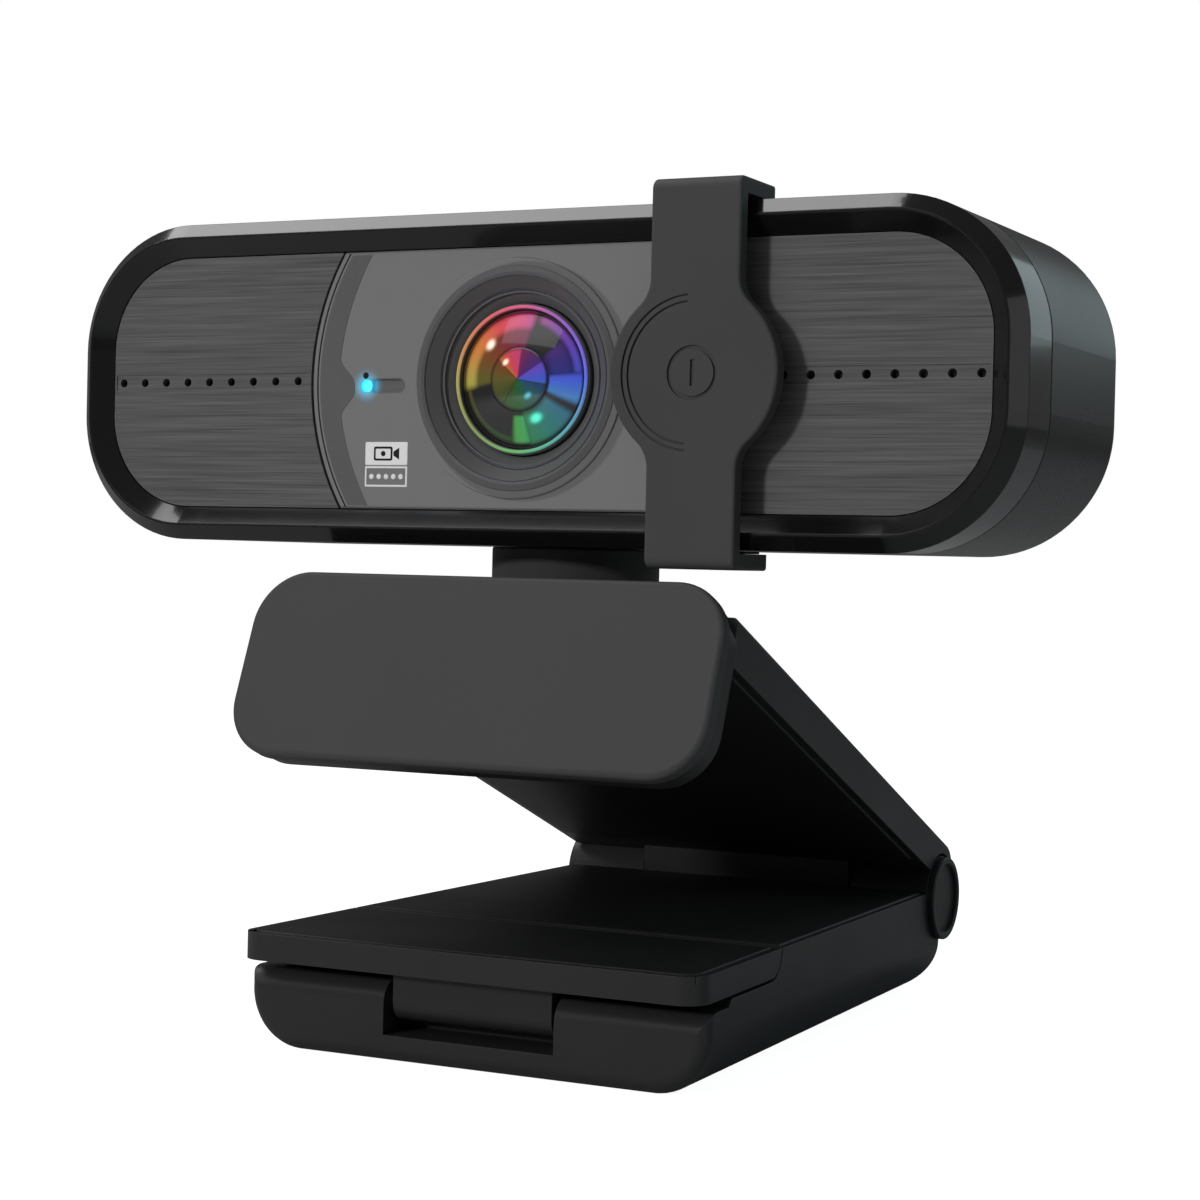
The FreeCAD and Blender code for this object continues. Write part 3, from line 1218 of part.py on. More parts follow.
def check_document():
    """Stop if any object failed, any piece is empty, or any cut removed nothing."""
    for item in doc.Objects:
        if "Invalid" in item.State or "Error" in item.State:
            raise RuntimeError(f"{item.Label}: {item.State}")
    for body in pieces:
        if body.Shape.isNull() or not body.Shape.isValid() or not body.Shape.Solids:
            raise RuntimeError(f"{body.Label}: no valid solid")
        previous = None
        for feature in body.Group:
            if not hasattr(feature, "AddSubShape") and feature.TypeId not in DRESS_UPS:
                continue
            if feature.TypeId == "PartDesign::Pocket":
                if feature.Shape.Volume > previous.Shape.Volume - TOLERANCE:
                    raise RuntimeError(f"{feature.Label}: cuts nothing")
            previous = feature


DRESS_UPS = ("PartDesign::Fillet", "PartDesign::Chamfer")

doc = FreeCAD.newDocument("webcam_on_clip_stand")
d = fill_sheet(doc)
pieces = []

b = base_levels()
a = arm_levels()
h = head_levels()

tilt_y = b.hinge_y - d.tilt_reach * cosine(d.arm_angle) + d.tilt_offset * sine(d.arm_angle)
tilt_z = d.hinge_height + d.tilt_reach * sine(d.arm_angle) + d.tilt_offset * cosine(d.arm_angle)
rim_y = tilt_y - d.neck_setback
lens_z = tilt_z + d.neck_rise + h.half_height

base_frame = SimpleNamespace(origin=(0, 0, 0), turn=0)
arm_frame = SimpleNamespace(origin=(0, b.hinge_y, d.hinge_height), turn=-d.arm_angle)
neck_frame = SimpleNamespace(origin=(0, tilt_y, tilt_z), turn=0)
head_frame = SimpleNamespace(origin=(0, rim_y, lens_z), turn=0)
cover_frame = SimpleNamespace(origin=(d.cover_x, rim_y, lens_z), turn=0)

make_base_shell()
make_base_inside()
make_hinge()
make_flap()
make_arm_shell()
make_arm_inside()
make_lip()
make_neck()
make_front_bezel()
make_rear_cover()
make_side_panel("left", -1)
make_side_panel("right", 1)
make_fascia()
make_lens()
make_electronics()
make_privacy_cover()

doc.recompute()
check_document()
os.makedirs("parts", exist_ok=True)
for body in pieces:
    body.Shape.exportStep(os.path.join("parts", f"{body.Label}.step"))
print(len(pieces), "pieces;", "tilt axis", round(tilt_y.value, 4), round(tilt_z.value, 4),
      "rim and lens", round(rim_y.value, 4), round(lens_z.value, 4))
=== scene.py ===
"""Finishes and fine detail for a webcam head on a folding clip stand.

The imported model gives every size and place. The sizes of pieces are in millimetres and are
turned into metres where a mesh is made; lengths inside a finish and in the studio are in metres.
+X is the viewer's right when facing the lens, +Y runs from the lens to the back and +Z is up.
"""
import json
import math

import bmesh
import bpy
import numpy as np
from bpy.props import FloatProperty, FloatVectorProperty, PointerProperty
from mathutils import Matrix, Vector


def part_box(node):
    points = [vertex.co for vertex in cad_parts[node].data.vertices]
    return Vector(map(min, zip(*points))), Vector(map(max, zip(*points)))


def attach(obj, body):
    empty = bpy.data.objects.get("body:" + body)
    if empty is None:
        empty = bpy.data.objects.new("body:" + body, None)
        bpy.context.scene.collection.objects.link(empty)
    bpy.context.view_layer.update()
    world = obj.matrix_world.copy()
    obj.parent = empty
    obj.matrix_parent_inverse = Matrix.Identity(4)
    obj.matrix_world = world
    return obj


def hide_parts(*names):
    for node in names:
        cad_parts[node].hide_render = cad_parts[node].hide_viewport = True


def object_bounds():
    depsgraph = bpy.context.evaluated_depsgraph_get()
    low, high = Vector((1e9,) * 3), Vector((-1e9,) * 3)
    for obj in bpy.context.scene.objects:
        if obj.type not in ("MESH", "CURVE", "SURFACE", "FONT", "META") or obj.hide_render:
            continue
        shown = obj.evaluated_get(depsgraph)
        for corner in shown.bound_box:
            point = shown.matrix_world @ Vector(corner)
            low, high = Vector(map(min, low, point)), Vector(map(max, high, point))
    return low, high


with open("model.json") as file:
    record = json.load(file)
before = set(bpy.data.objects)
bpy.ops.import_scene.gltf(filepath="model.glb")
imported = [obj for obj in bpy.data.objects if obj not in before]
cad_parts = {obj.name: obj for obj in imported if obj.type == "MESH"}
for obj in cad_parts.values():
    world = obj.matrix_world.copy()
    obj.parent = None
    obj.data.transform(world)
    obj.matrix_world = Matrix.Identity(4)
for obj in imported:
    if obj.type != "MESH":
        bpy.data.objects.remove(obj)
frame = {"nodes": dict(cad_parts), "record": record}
cad_low, cad_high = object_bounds()
nodes = frame["nodes"]
MM = 0.001
FLOOR_DROP = 0.0001  # Metres from the pad's face down to the floor, so that they don't meet exactly.
TINT = "tint"  # Colour attribute of the coated glass and its ring, holding their painted reflections and highlights.

bl_info = {
    "name": "Webcam on a clip stand",
    "version": (1, 0, 0),
    "blender": (4, 5, 0),
    "location": "3D View > Sidebar > Webcam",
    "description": "Finishes, lens, light, label and studio for a webcam on a folding clip stand",
    "category": "Object",
}


# ---------------------------------------------------------------- places read from the model

def middle(node):
    """Middle of a CAD node's box, in millimetres."""
    low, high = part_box(node)
    return (low + high) / 2 / MM


def box_mm(node):
    """Lowest and highest corner of a CAD node's box, in millimetres."""
    low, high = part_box(node)
    return low / MM, high / MM


LENS_Z = middle("front_bezel").z
FASCIA_Y = box_mm("panel_left")[0].y - 0.1  # The centre panel's face stands just proud of the side panels.
FASCIA_LOW, FASCIA_HIGH = box_mm("centre_fascia")
FASCIA_HALF = (FASCIA_HIGH.z - FASCIA_LOW.z) / 2
FASCIA_REACH = FASCIA_HIGH.x
LIGHT = middle("light_pipe")
GLASS_LOW, GLASS_HIGH = box_mm("front_lens")
GLASS_RADIUS = (GLASS_HIGH.x - GLASS_LOW.x) / 2
BARREL_FRONT = box_mm("lens_barrel")[0].y
RING_LOW, RING_HIGH = box_mm("lens_ring")
RING_RADIUS = (RING_HIGH.x - RING_LOW.x) / 2
INSERT_LOW, INSERT_HIGH = box_mm("tripod_insert")


# ---------------------------------------------------------------- sizes of the fine detail, in millimetres

GLOW_RADIUS, GLOW_CORE = 1.9, 0.3  # Reach of the status light's glow painted on the centre panel, and where it is full.
SLOT_REACH = 1.8  # Half the distance between the end centres of the slot beside the light, where shade is painted.
SLOT_HALF = 0.70  # Half the slot's height.
RING_SHADE_SHIFT = (1.0, -0.3)  # Middle of the painted shade behind the lens ring, from the lens axis.
RING_SHADE_MARGIN = 0.55  # How far that painted shade reaches past the lens ring.

DOME_SPHERE = 17.0  # Radius of the front glass's curve.
DOME_GROOVES = ((0.455, 0.03, 0.55), (0.965, 0.07, 0.85))  # Share of the radius, depth, darkening.
GLASS_GAP = 0.02  # Clearance round and behind the coated glass.
SECTOR_SOFTNESS = 4.5  # Degrees over which a sector of reflected colour fades out.
RAINBOW_GAP, RAINBOW_THICKNESS = 0.28, 0.34  # Ring beyond the glass, coloured and glowing with a painted reflection.
FUNNEL_HIGHLIGHT_RING = (8.5, 1.30, 0.26)  # Painted highlight on the funnel's step, a pale hoop: radius, distance behind the lens ring's front, thickness.
GROOVE_RING = (9.7, 0.12, 0.10)

ARC_RADIUS = 24.0  # Curve of the centre panel's ends.
LINE_INSETS = (0.55, 0.70)  # Outer and inner edge of the fine line, in from the arc.
BORDER_INSET = 0.9  # Outer edge of the dark border, in from the arc.
BORDER_REACH, BORDER_CURVE = 19.5, 0.0235  # Its inner edge: reach - curve * z^2 from the lens axis.
BAY_DEPTH, BAY_LOW, BAY_HIGH, BAY_SOFTNESS = 1.75, -2.3, 0.9, 1.3  # Step in that edge beside the light.
BORDER_PROUD, LINE_PROUD, LABEL_PROUD = 0.03, 0.02, 0.04  # Heights above the centre panel.

LABEL_LEFT, LABEL_RIGHT = -16.37, -11.60  # From the lens axis.
LABEL_TOP, LABEL_MIDDLE, LABEL_LOW = -6.0, -8.25, -10.35  # Field above the middle, frame below it.
LABEL_WALL, LABEL_THICKNESS = 0.2, 0.1
SIGN_SHIFT, SIGN_HALF, SIGN_WALL = -0.35, (1.05, 0.68), 0.2  # Body of the camera sign.
SIGN_THICKNESS = 0.06
SIGN_EYE = 0.26  # Radius of its eye.
SIGN_HORN = ((0.80, -0.18), (1.45, -0.58), (1.45, 0.58), (0.80, 0.18))  # Corners of its horn.
DOT_COUNT, DOT_PITCH, DOT_RADIUS = 5, 0.82, 0.27
HOLE_SHIFT, HOLE_RADIUS = (-0.1, 1.0), 0.34  # Light sensor's hole, from the status light.

THREAD_BORE, THREAD_PITCH, THREAD_DEPTH = 3.175, 1.27, 0.55  # Quarter-inch tripod thread.
THREAD_SINK = 0.02  # How far its root sits in the bore's wall.
CREST_HALF, ROOT_SHARE = 0.08, 0.46  # Half the crest's width; half the root's, as a share of the pitch.
RUN_IN = 1.2  # Radians over which the ridge grows at each end.


# ---------------------------------------------------------------- settings

class CameraSettings(bpy.types.PropertyGroup):
    place: FloatVectorProperty(name="Place", description="Where the camera stands", subtype="TRANSLATION",
                               default=(0.112855, -0.234884, 0.047596))
    azimuth: FloatProperty(name="Azimuth", description="Turn about the upright axis, in degrees",
                           default=26.276)
    elevation: FloatProperty(name="Elevation", description="Height angle, in degrees", default=0.920)
    roll: FloatProperty(name="Roll", description="Turn about the line of sight, in degrees", default=1.333)
    focal: FloatProperty(name="Focal length", description="On a 36 mm wide sensor", default=75.57,
                         unit="CAMERA")


class StudioSettings(bpy.types.PropertyGroup):
    key: FloatProperty(name="Key light", description="Large soft light above and in front", default=0.70,
                       unit="POWER")
    front: FloatProperty(name="Front light", description="Small light from the left that draws shadows",
                         default=1.85, unit="POWER")
    top: FloatProperty(name="Top light", description="Soft light above that edges the rim", default=1.10,
                       unit="POWER")
    side: FloatProperty(name="Side light", description="Weak cool light from the right", default=0.28,
                        unit="POWER")
    back: FloatProperty(name="Back light", description="Cool light behind that shows in the glossy side",
                        default=0.11, unit="POWER")
    rim: FloatProperty(name="Rim light", description="Weak light from the right that edges the glossy rim",
                       default=0.07, unit="POWER")
    world: FloatProperty(name="Surroundings", description="Strength of the even surroundings", default=0.10)
    paper: FloatProperty(name="Paper glow", description="How far the floor is lifted to white",
                         default=0.96)
    floor: FloatVectorProperty(name="Floor", description="Colour of the floor", subtype="COLOR",
                               default=(0.45, 0.45, 0.45))


class FinishSettings(bpy.types.PropertyGroup):
    stand: FloatVectorProperty(name="Stand", description="Satin plastic of the base, arm and neck",
                               subtype="COLOR", default=(0.0265, 0.0265, 0.0273))
    lip: FloatVectorProperty(name="Lip", description="Soft matte plate of the clip", subtype="COLOR",
                             default=(0.060, 0.060, 0.0612))
    slider: FloatVectorProperty(name="Privacy cover", description="Matte plastic of the privacy cover",
                                subtype="COLOR", default=(0.064, 0.064, 0.0648))
    bezel: FloatVectorProperty(name="Bezel", description="Polished plastic of the front frame",
                               subtype="COLOR", default=(0.0085, 0.0085, 0.009))
    rear: FloatVectorProperty(name="Rear cover", description="Half gloss plastic of the rear cover",
                              subtype="COLOR", default=(0.0190, 0.0195, 0.0200))
    panel: FloatVectorProperty(name="Panels", description="Brushed face panels", subtype="COLOR",
                               default=(0.118, 0.118, 0.119))
    fascia: FloatVectorProperty(name="Fascia", description="Smoked centre panel", subtype="COLOR",
                                default=(0.222, 0.222, 0.225))
    barrel: FloatVectorProperty(name="Lens ring", description="Matte plastic of the lens ring and barrel",
                                subtype="COLOR", default=(0.115, 0.115, 0.119))
    rubber: FloatVectorProperty(name="Rubber", description="Pads and gland", subtype="COLOR",
                                default=(0.0170, 0.0170, 0.0175))
    light: FloatVectorProperty(name="Status light", description="Colour of the lit status light",
                               subtype="COLOR", default=(0.02, 0.60, 1.0))


# ---------------------------------------------------------------- node helpers

class Wiring:
    """Adds nodes to one node tree in a few words."""

    def __init__(self, tree):
        self.tree = tree
        self.column = 0

    def node(self, kind, values=None, **settings):
        made = self.tree.nodes.new(kind)
        made.location = (self.column * 180, 0)
        self.column += 1
        for name, value in settings.items():
            setattr(made, name, value)
        for name, value in (values or {}).items():
            self.feed(made.inputs[name], value)
        return made

    def feed(self, socket, value):
        """Set a socket to a value, or link an output to it."""
        if isinstance(value, bpy.types.NodeSocket):
            self.tree.links.new(value, socket)
        else:
            socket.default_value = value

    def math(self, operation, *values):
        made = self.node("ShaderNodeMath", operation=operation)
        for index, value in enumerate(values):
            self.feed(made.inputs[index], value)
        return made.outputs[0]

    def range(self, value, low, high, new_low=0.0, new_high=1.0):
        """Carry low to high over to new_low to new_high, in a straight line, held at the ends."""
        made = self.node("ShaderNodeMapRange", {"Value": value, "From Min": low, "From Max": high,
                                                "To Min": new_low, "To Max": new_high})
        return made.outputs["Result"]

    def mix(self, share, first, second):
        """The first colour where the share is 0, the second where it is 1."""
        made = self.node("ShaderNodeMix", data_type="RGBA")
        self.feed(made.inputs["Factor"], share)
        for socket, value in zip([s for s in made.inputs if s.type == "RGBA"], (first, second)):
            self.feed(socket, value if isinstance(value, bpy.types.NodeSocket) else rgba(value))
        return [s for s in made.outputs if s.type == "RGBA"][0]

    def noise(self, vector, scale, detail=2.0, roughness=0.5):
        made = self.node("ShaderNodeTexNoise", {"Vector": vector, "Scale": scale, "Detail": detail,
                                                "Roughness": roughness})
        return made.outputs["Fac"]

    def object_place(self, location=(0.0, 0.0, 0.0)):
        """The point on the object, moved by a location."""
        source = self.node("ShaderNodeTexCoord").outputs["Object"]
        made = self.node("ShaderNodeMapping", {"Vector": source, "Location": location})
        return made.outputs["Vector"]


def rgba(colour):
    return (*colour[:3], 1.0)


def start_group(name, inputs, outputs):
    """A shader node group with named sockets: inputs are (name, kind, default)."""
    group = bpy.data.node_groups.new(name, "ShaderNodeTree")
    for word, kind, default in inputs:
        socket = group.interface.new_socket(word, in_out="INPUT", socket_type=kind)
        socket.default_value = default
    for word, kind in outputs:
        group.interface.new_socket(word, in_out="OUTPUT", socket_type=kind)
    wires = Wiring(group)
    entry = group.nodes.new("NodeGroupInput")
    leave = group.nodes.new("NodeGroupOutput")
    return wires, entry.outputs, leave.inputs


FLOAT = "NodeSocketFloat"


def make_grain_group():
    """Fine spark-eroded grain with a slow drift of tone. Cell is the grain's size in metres."""
    wires, given, out = start_group(
        "mould grain", [("Cell", FLOAT, 0.00025), ("Drift", FLOAT, 0.012)],
        [("Height", FLOAT), ("Tone", FLOAT)])
    place = wires.object_place()
    fine = wires.noise(place, wires.math("DIVIDE", 1.0, given["Cell"]), 2.0, 0.6)
    slow = wires.noise(place, wires.math("DIVIDE", 1.0, given["Drift"]), 3.0, 0.5)
    wires.feed(out["Height"], fine)
    wires.feed(out["Tone"], wires.math("ADD", wires.math("MULTIPLY", fine, 0.35),
                                       wires.math("MULTIPLY", slow, 0.65)))


def make_brushing_group():
    """Straight brushing along X: noise stretched far along X, in two widths of line."""
    wires, given, out = start_group(
        "brushing", [("Line", FLOAT, 0.00016), ("Stretch", FLOAT, 90.0)],
        [("Height", FLOAT), ("Tone", FLOAT)])
    layers = []
    for thickness, length in ((1.0, 1.0), (2.7, 0.6)):
        place = wires.node("ShaderNodeTexCoord").outputs["Object"]
        parts = wires.node("ShaderNodeSeparateXYZ", {"Vector": place}).outputs
        along = wires.math("DIVIDE", parts["X"], wires.math("MULTIPLY", given["Stretch"], length))
        joined = wires.node("ShaderNodeCombineXYZ", {"X": along, "Y": 0.0, "Z": parts["Z"]}).outputs[0]
        size = wires.math("DIVIDE", 1.0, wires.math("MULTIPLY", given["Line"], thickness))
        layers.append(wires.noise(joined, size, 2.0, 0.65))
    tone = wires.math("ADD", wires.math("MULTIPLY", layers[0], 0.6), wires.math("MULTIPLY", layers[1], 0.4))
    wires.feed(out["Height"], layers[0])
    wires.feed(out["Tone"], wires.range(tone, 0.32, 0.68))


def make_edge_group():
    """Mask of the edges: how far a normal averaged within Width leans away from the flat one."""
    wires, given, out = start_group("edge wear and sheen", [("Width", FLOAT, 0.0003), ("Gain", FLOAT, 3.0)],
                                    [("Mask", FLOAT)])
    soft = wires.node("ShaderNodeBevel", samples=6)
    wires.feed(soft.inputs["Radius"], given["Width"])
    sharp = wires.node("ShaderNodeNewGeometry").outputs["Normal"]
    lean = wires.node("ShaderNodeVectorMath", operation="DOT_PRODUCT")
    wires.feed(lean.inputs[0], soft.outputs["Normal"])
    wires.feed(lean.inputs[1], sharp)
    off = wires.math("SUBTRACT", 1.0, lean.outputs["Value"])
    broken = wires.noise(wires.object_place(), 900.0, 3.0, 0.6)
    strength = wires.math("MULTIPLY", wires.math("MULTIPLY", off, given["Gain"]), broken)
    wires.feed(out["Mask"], wires.math("MINIMUM", strength, 1.0))


def make_dust_group():
    """Sparse fine specks and faint smears of handling."""
    wires, given, out = start_group("dust", [("Amount", FLOAT, 0.3)],
                                    [("Specks", FLOAT), ("Smears", FLOAT)])
    place = wires.object_place()
    cells = wires.node("ShaderNodeTexVoronoi", {"Vector": place, "Scale": 1400.0})
    near = wires.range(cells.outputs["Distance"], 0.10, 0.05)
    picked = wires.range(wires.noise(place, 420.0, 1.0), 0.60, 0.68)
    wires.feed(out["Specks"], wires.math("MULTIPLY", wires.math("MULTIPLY", near, picked), given["Amount"]))
    smears = wires.range(wires.noise(place, 70.0, 4.0, 0.6), 0.42, 0.75)
    wires.feed(out["Smears"], wires.math("MULTIPLY", smears, given["Amount"]))


def make_groups():
    for make in (make_grain_group, make_brushing_group, make_edge_group, make_dust_group):
        make()


def start_material(name, **values):
    """A material with one Principled shader, whose plain values are set on its sockets."""
    material = bpy.data.materials.new(name)
    material.use_nodes = True
    tree = material.node_tree
    tree.nodes.clear()
    wires = Wiring(tree)
    shader = wires.node("ShaderNodeBsdfPrincipled")
    out = wires.node("ShaderNodeOutputMaterial")
    tree.links.new(shader.outputs["BSDF"], out.inputs["Surface"])
    for word, value in values.items():
        shader.inputs[word.replace("_", " ")].default_value = value
    return material, wires, shader


def place_group(wires, name, **values):
    made = wires.node("ShaderNodeGroup")
    made.node_tree = bpy.data.node_groups[name]
    for word, value in values.items():
        wires.feed(made.inputs[word], value)
    return made.outputs


def bump(wires, shader, height, distance, base=None):
    """Raise a height by a distance in metres, over a base normal if one is given."""
    made = wires.node("ShaderNodeBump", {"Height": height, "Distance": distance, "Strength": 1.0})
    if base is not None:
        wires.feed(made.inputs["Normal"], base)
    wires.feed(shader.inputs["Normal"], made.outputs["Normal"])


def shaded(colour, share):
    return tuple(channel * share for channel in colour)


def roughen(wires, shader, tone, roughness, spread, low=0.3, high=0.7):
    """Roughness that runs with a tone from low to high, as far as `spread` either side of its own."""
    made = wires.range(tone, low, high, roughness * (1 - spread), roughness * (1 + spread))
    wires.feed(shader.inputs["Roughness"], made)


def moulded(name, colour, roughness, cell=0.00025, depth=0.000012, wear=0.25, dust=0.2, edge=0.00012,
            variation=0.18, **values):
    """Moulded plastic: grain, a drift of tone, paler edges for wear and painted sheen, specks and smears.
    """
    material, wires, shader = start_material(name, **values)
    grain = place_group(wires, "mould grain", Cell=cell)
    edge_wear_and_sheen = place_group(wires, "edge wear and sheen", Width=0.00035)["Mask"]
    dirt = place_group(wires, "dust", Amount=dust)
    toned = wires.mix(grain["Tone"], shaded(colour, 1 - variation), shaded(colour, 1 + variation))
    pale = tuple(min(1.0, channel * 2.2 + 0.01) for channel in colour)
    # Paler edges: rubbed wear and a painted sheen along them.
    toned = wires.mix(wires.math("MULTIPLY", edge_wear_and_sheen, wear), toned, pale)
    toned = wires.mix(wires.math("MULTIPLY", dirt["Specks"], 0.5), toned, (0.25, 0.25, 0.25))
    wires.feed(shader.inputs["Base Color"], toned)
    rough = wires.range(grain["Tone"], 0.3, 0.7, roughness * 0.92, roughness * 1.08)
    rough = wires.math("ADD", rough, wires.math("MULTIPLY", dirt["Smears"], 0.05))
    wires.feed(shader.inputs["Roughness"], rough)
    round_edge = wires.node("ShaderNodeBevel", {"Radius": edge}, samples=6)
    bump(wires, shader, grain["Height"], depth, base=round_edge.outputs["Normal"])
    return material


def brushed(name, colour, roughness, contrast, line=0.00016, depth=0.000006):
    """Brushed sheet: straight lines in colour, roughness and height, with paler edges for wear and painted
    sheen.
    """
    material, wires, shader = start_material(name)
    lines = place_group(wires, "brushing", Line=line)
    edge_wear_and_sheen = place_group(wires, "edge wear and sheen", Width=0.00025)["Mask"]
    toned = wires.mix(lines["Tone"], shaded(colour, 1 - contrast), shaded(colour, 1 + contrast))
    # Paler edges: rubbed wear and a painted sheen along them.
    toned = wires.mix(wires.math("MULTIPLY", edge_wear_and_sheen, 0.3), toned, shaded(colour, 2.5))
    wires.feed(shader.inputs["Base Color"], toned)
    roughen(wires, shader, lines["Tone"], roughness, 0.2, 0.0, 1.0)
    round_edge = wires.node("ShaderNodeBevel", {"Radius": 0.00008}, samples=6)
    bump(wires, shader, lines["Height"], depth, base=round_edge.outputs["Normal"])
    return material


def metal(name, colour, roughness, cell=0.0004):
    """Bare metal with a drift of tone and roughness."""
    material, wires, shader = start_material(name, Metallic=1.0)
    grain = place_group(wires, "mould grain", Cell=cell, Drift=0.003)
    wires.feed(shader.inputs["Base Color"],
               wires.mix(grain["Tone"], shaded(colour, 0.82), tuple(min(1.0, c * 1.1) for c in colour)))
    roughen(wires, shader, grain["Tone"], roughness, 0.3)
    bump(wires, shader, grain["Height"], 0.000006)
    return material


def fascia_finish(colour, light):
    """Smoked gloss panel: painted shade in a round field behind the lens ring and in the slot beside the
    light, and a painted glow round the light.
    """
    material, wires, shader = start_material("smoked gloss", Coat_Weight=0.15, Coat_Roughness=0.08,
                                             Emission_Strength=1.0)
    grain = place_group(wires, "mould grain", Cell=0.0006, Drift=0.02)
    dirt = place_group(wires, "dust", Amount=0.2)
    toned = wires.mix(grain["Tone"], shaded(colour, 0.96), shaded(colour, 1.04))
    # Painted shade: the panel is darker in a round field behind the lens ring, its middle shifted off the
    # lens axis.
    from_ring_shade = distance_from(wires, RING_SHADE_SHIFT[0], LENS_Z + RING_SHADE_SHIFT[1])
    reach = RING_RADIUS + RING_SHADE_MARGIN
    field = wires.range(from_ring_shade, (reach + 0.2) * MM, reach * MM)
    toned = wires.mix(field, toned, shaded(colour, 0.72))
    # Painted shade: the panel is darker inside the slot beside the light.
    from_slot_shade = distance_from(wires, LIGHT.x + SLOT_REACH, LIGHT.z, SLOT_REACH)
    slot = wires.range(from_slot_shade, (SLOT_HALF + 0.1) * MM, SLOT_HALF * MM)
    toned = wires.mix(slot, toned, shaded(colour, 0.66))
    toned = wires.mix(wires.math("MULTIPLY", dirt["Specks"], 0.3), toned, (0.4, 0.4, 0.4))
    wires.feed(shader.inputs["Base Color"], toned)
    # Painted glow: the panel glows in the status light's colour round the light, by emission.
    glow = wires.range(distance_from(wires, LIGHT.x, LIGHT.z), GLOW_RADIUS * MM, GLOW_CORE * MM)
    wires.feed(shader.inputs["Emission Color"],
               wires.mix(wires.math("POWER", glow, 2.2), (0.0, 0.0, 0.0), light))
    handled = wires.math("MULTIPLY", dirt["Smears"], 0.12)
    wires.feed(shader.inputs["Roughness"], wires.math("ADD", 0.30, handled))
    round_edge = wires.node("ShaderNodeBevel", {"Radius": 0.0001}, samples=6)
    wires.feed(shader.inputs["Normal"], round_edge.outputs["Normal"])
    return material


def distance_from(wires, x, z, reach=0.0):
    """Distance in metres, seen along Y, from a level stretch through x, z that runs `reach` each way."""
    place = wires.object_place(location=(-x * MM, 0.0, -z * MM))
    parts = wires.node("ShaderNodeSeparateXYZ", {"Vector": place}).outputs
    beyond = wires.math("SUBTRACT", wires.math("ABSOLUTE", parts["X"]), reach * MM)
    past = wires.math("MAXIMUM", beyond, 0.0)
    across, above = wires.math("MULTIPLY", past, past), wires.math("MULTIPLY", parts["Z"], parts["Z"])
    return wires.math("SQRT", wires.math("ADD", across, above))


def tinted(name, roughness, emission, coat):
    """A finish whose colour comes from the mesh's own colour attribute; it also glows in that colour, so
    the painted reflections and highlights in it show brightly.
    """
    material, wires, shader = start_material(name, Coat_Weight=coat, Coat_Roughness=0.02,
                                             Emission_Strength=emission)
    tint = wires.node("ShaderNodeAttribute", attribute_name=TINT).outputs["Color"]
    grain = place_group(wires, "mould grain", Cell=0.0005, Drift=0.003)
    wires.feed(shader.inputs["Base Color"], tint)
    wires.feed(shader.inputs["Emission Color"], tint)
    roughen(wires, shader, grain["Tone"], roughness, 0.1)
    return material


def glass(name, colour):
    """Clear glass with a slow drift of colour."""
    material, wires, shader = start_material(name, Roughness=0.02, Transmission_Weight=1.0, IOR=1.5)
    grain = place_group(wires, "mould grain", Cell=0.002, Drift=0.004)
    wires.feed(shader.inputs["Base Color"], wires.mix(grain["Tone"], shaded(colour, 0.95), colour))
    return material


def board_finish():
    """Solder mask with fine copper tracks under it, on a grid of cells."""
    material, wires, shader = start_material("solder mask", Roughness=0.35)
    cells = wires.node("ShaderNodeTexVoronoi", {"Vector": wires.object_place(), "Scale": 900.0},
                       distance="CHEBYCHEV")
    track = wires.range(cells.outputs["Distance"], 0.42, 0.46)
    wires.feed(shader.inputs["Base Color"], wires.mix(track, (0.012, 0.12, 0.05), (0.03, 0.24, 0.10)))
    bump(wires, shader, track, 0.00002)
    return material


def sensor_finish():
    """Die with fine rows under glass."""
    material, wires, shader = start_material("sensor die", Roughness=0.12, Metallic=0.6)
    rows = wires.node("ShaderNodeTexWave", {"Vector": wires.object_place(), "Scale": 4000.0}).outputs["Fac"]
    wires.feed(shader.inputs["Base Color"], wires.mix(rows, (0.05, 0.09, 0.08), (0.12, 0.10, 0.16)))
    return material


def lit(name, colour, strength):
    """A lit clear plastic whose brightness drifts a little."""
    material, wires, shader = start_material(name, Roughness=0.25, Emission_Strength=strength)
    grain = place_group(wires, "mould grain", Cell=0.0003, Drift=0.002)
    wires.feed(shader.inputs["Base Color"], rgba(colour))
    wires.feed(shader.inputs["Emission Color"], wires.mix(grain["Tone"], shaded(colour, 0.9), colour))
    return material


# ---------------------------------------------------------------- surfaces

def grid_faces(rows, columns, wrap_rows=False, wrap_columns=False):
    """Quads of a grid whose points are stored row by row."""
    row = np.arange(rows if wrap_rows else rows - 1)
    column = np.arange(columns if wrap_columns else columns - 1)
    r, c = np.meshgrid(row, column, indexing="ij")
    r2, c2 = (r + 1) % rows, (c + 1) % columns
    quads = np.stack([r * columns + c, r * columns + c2, r2 * columns + c2, r2 * columns + c], -1)
    return quads.reshape(-1, 4).tolist()


def closed_piece(name, points, faces, material, slot, body="head", smooth=True):
    """A closed piece from points in millimetres: doubles merged, faces turned outwards."""
    mesh = bpy.data.meshes.new(name)
    mesh.from_pydata((np.asarray(points, float).reshape(-1, 3) * MM).tolist(), [], faces)
    work = bmesh.new()
    work.from_mesh(mesh)
    bmesh.ops.remove_doubles(work, verts=work.verts, dist=1e-7)
    bmesh.ops.recalc_face_normals(work, faces=work.faces)
    work.to_mesh(mesh)
    work.free()
    mesh.materials.append(material)
    if smooth:
        mesh.shade_smooth()
    piece = bpy.data.objects.new(name, mesh)
    bpy.context.scene.collection.objects.link(piece)
    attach(piece, body)
    return piece


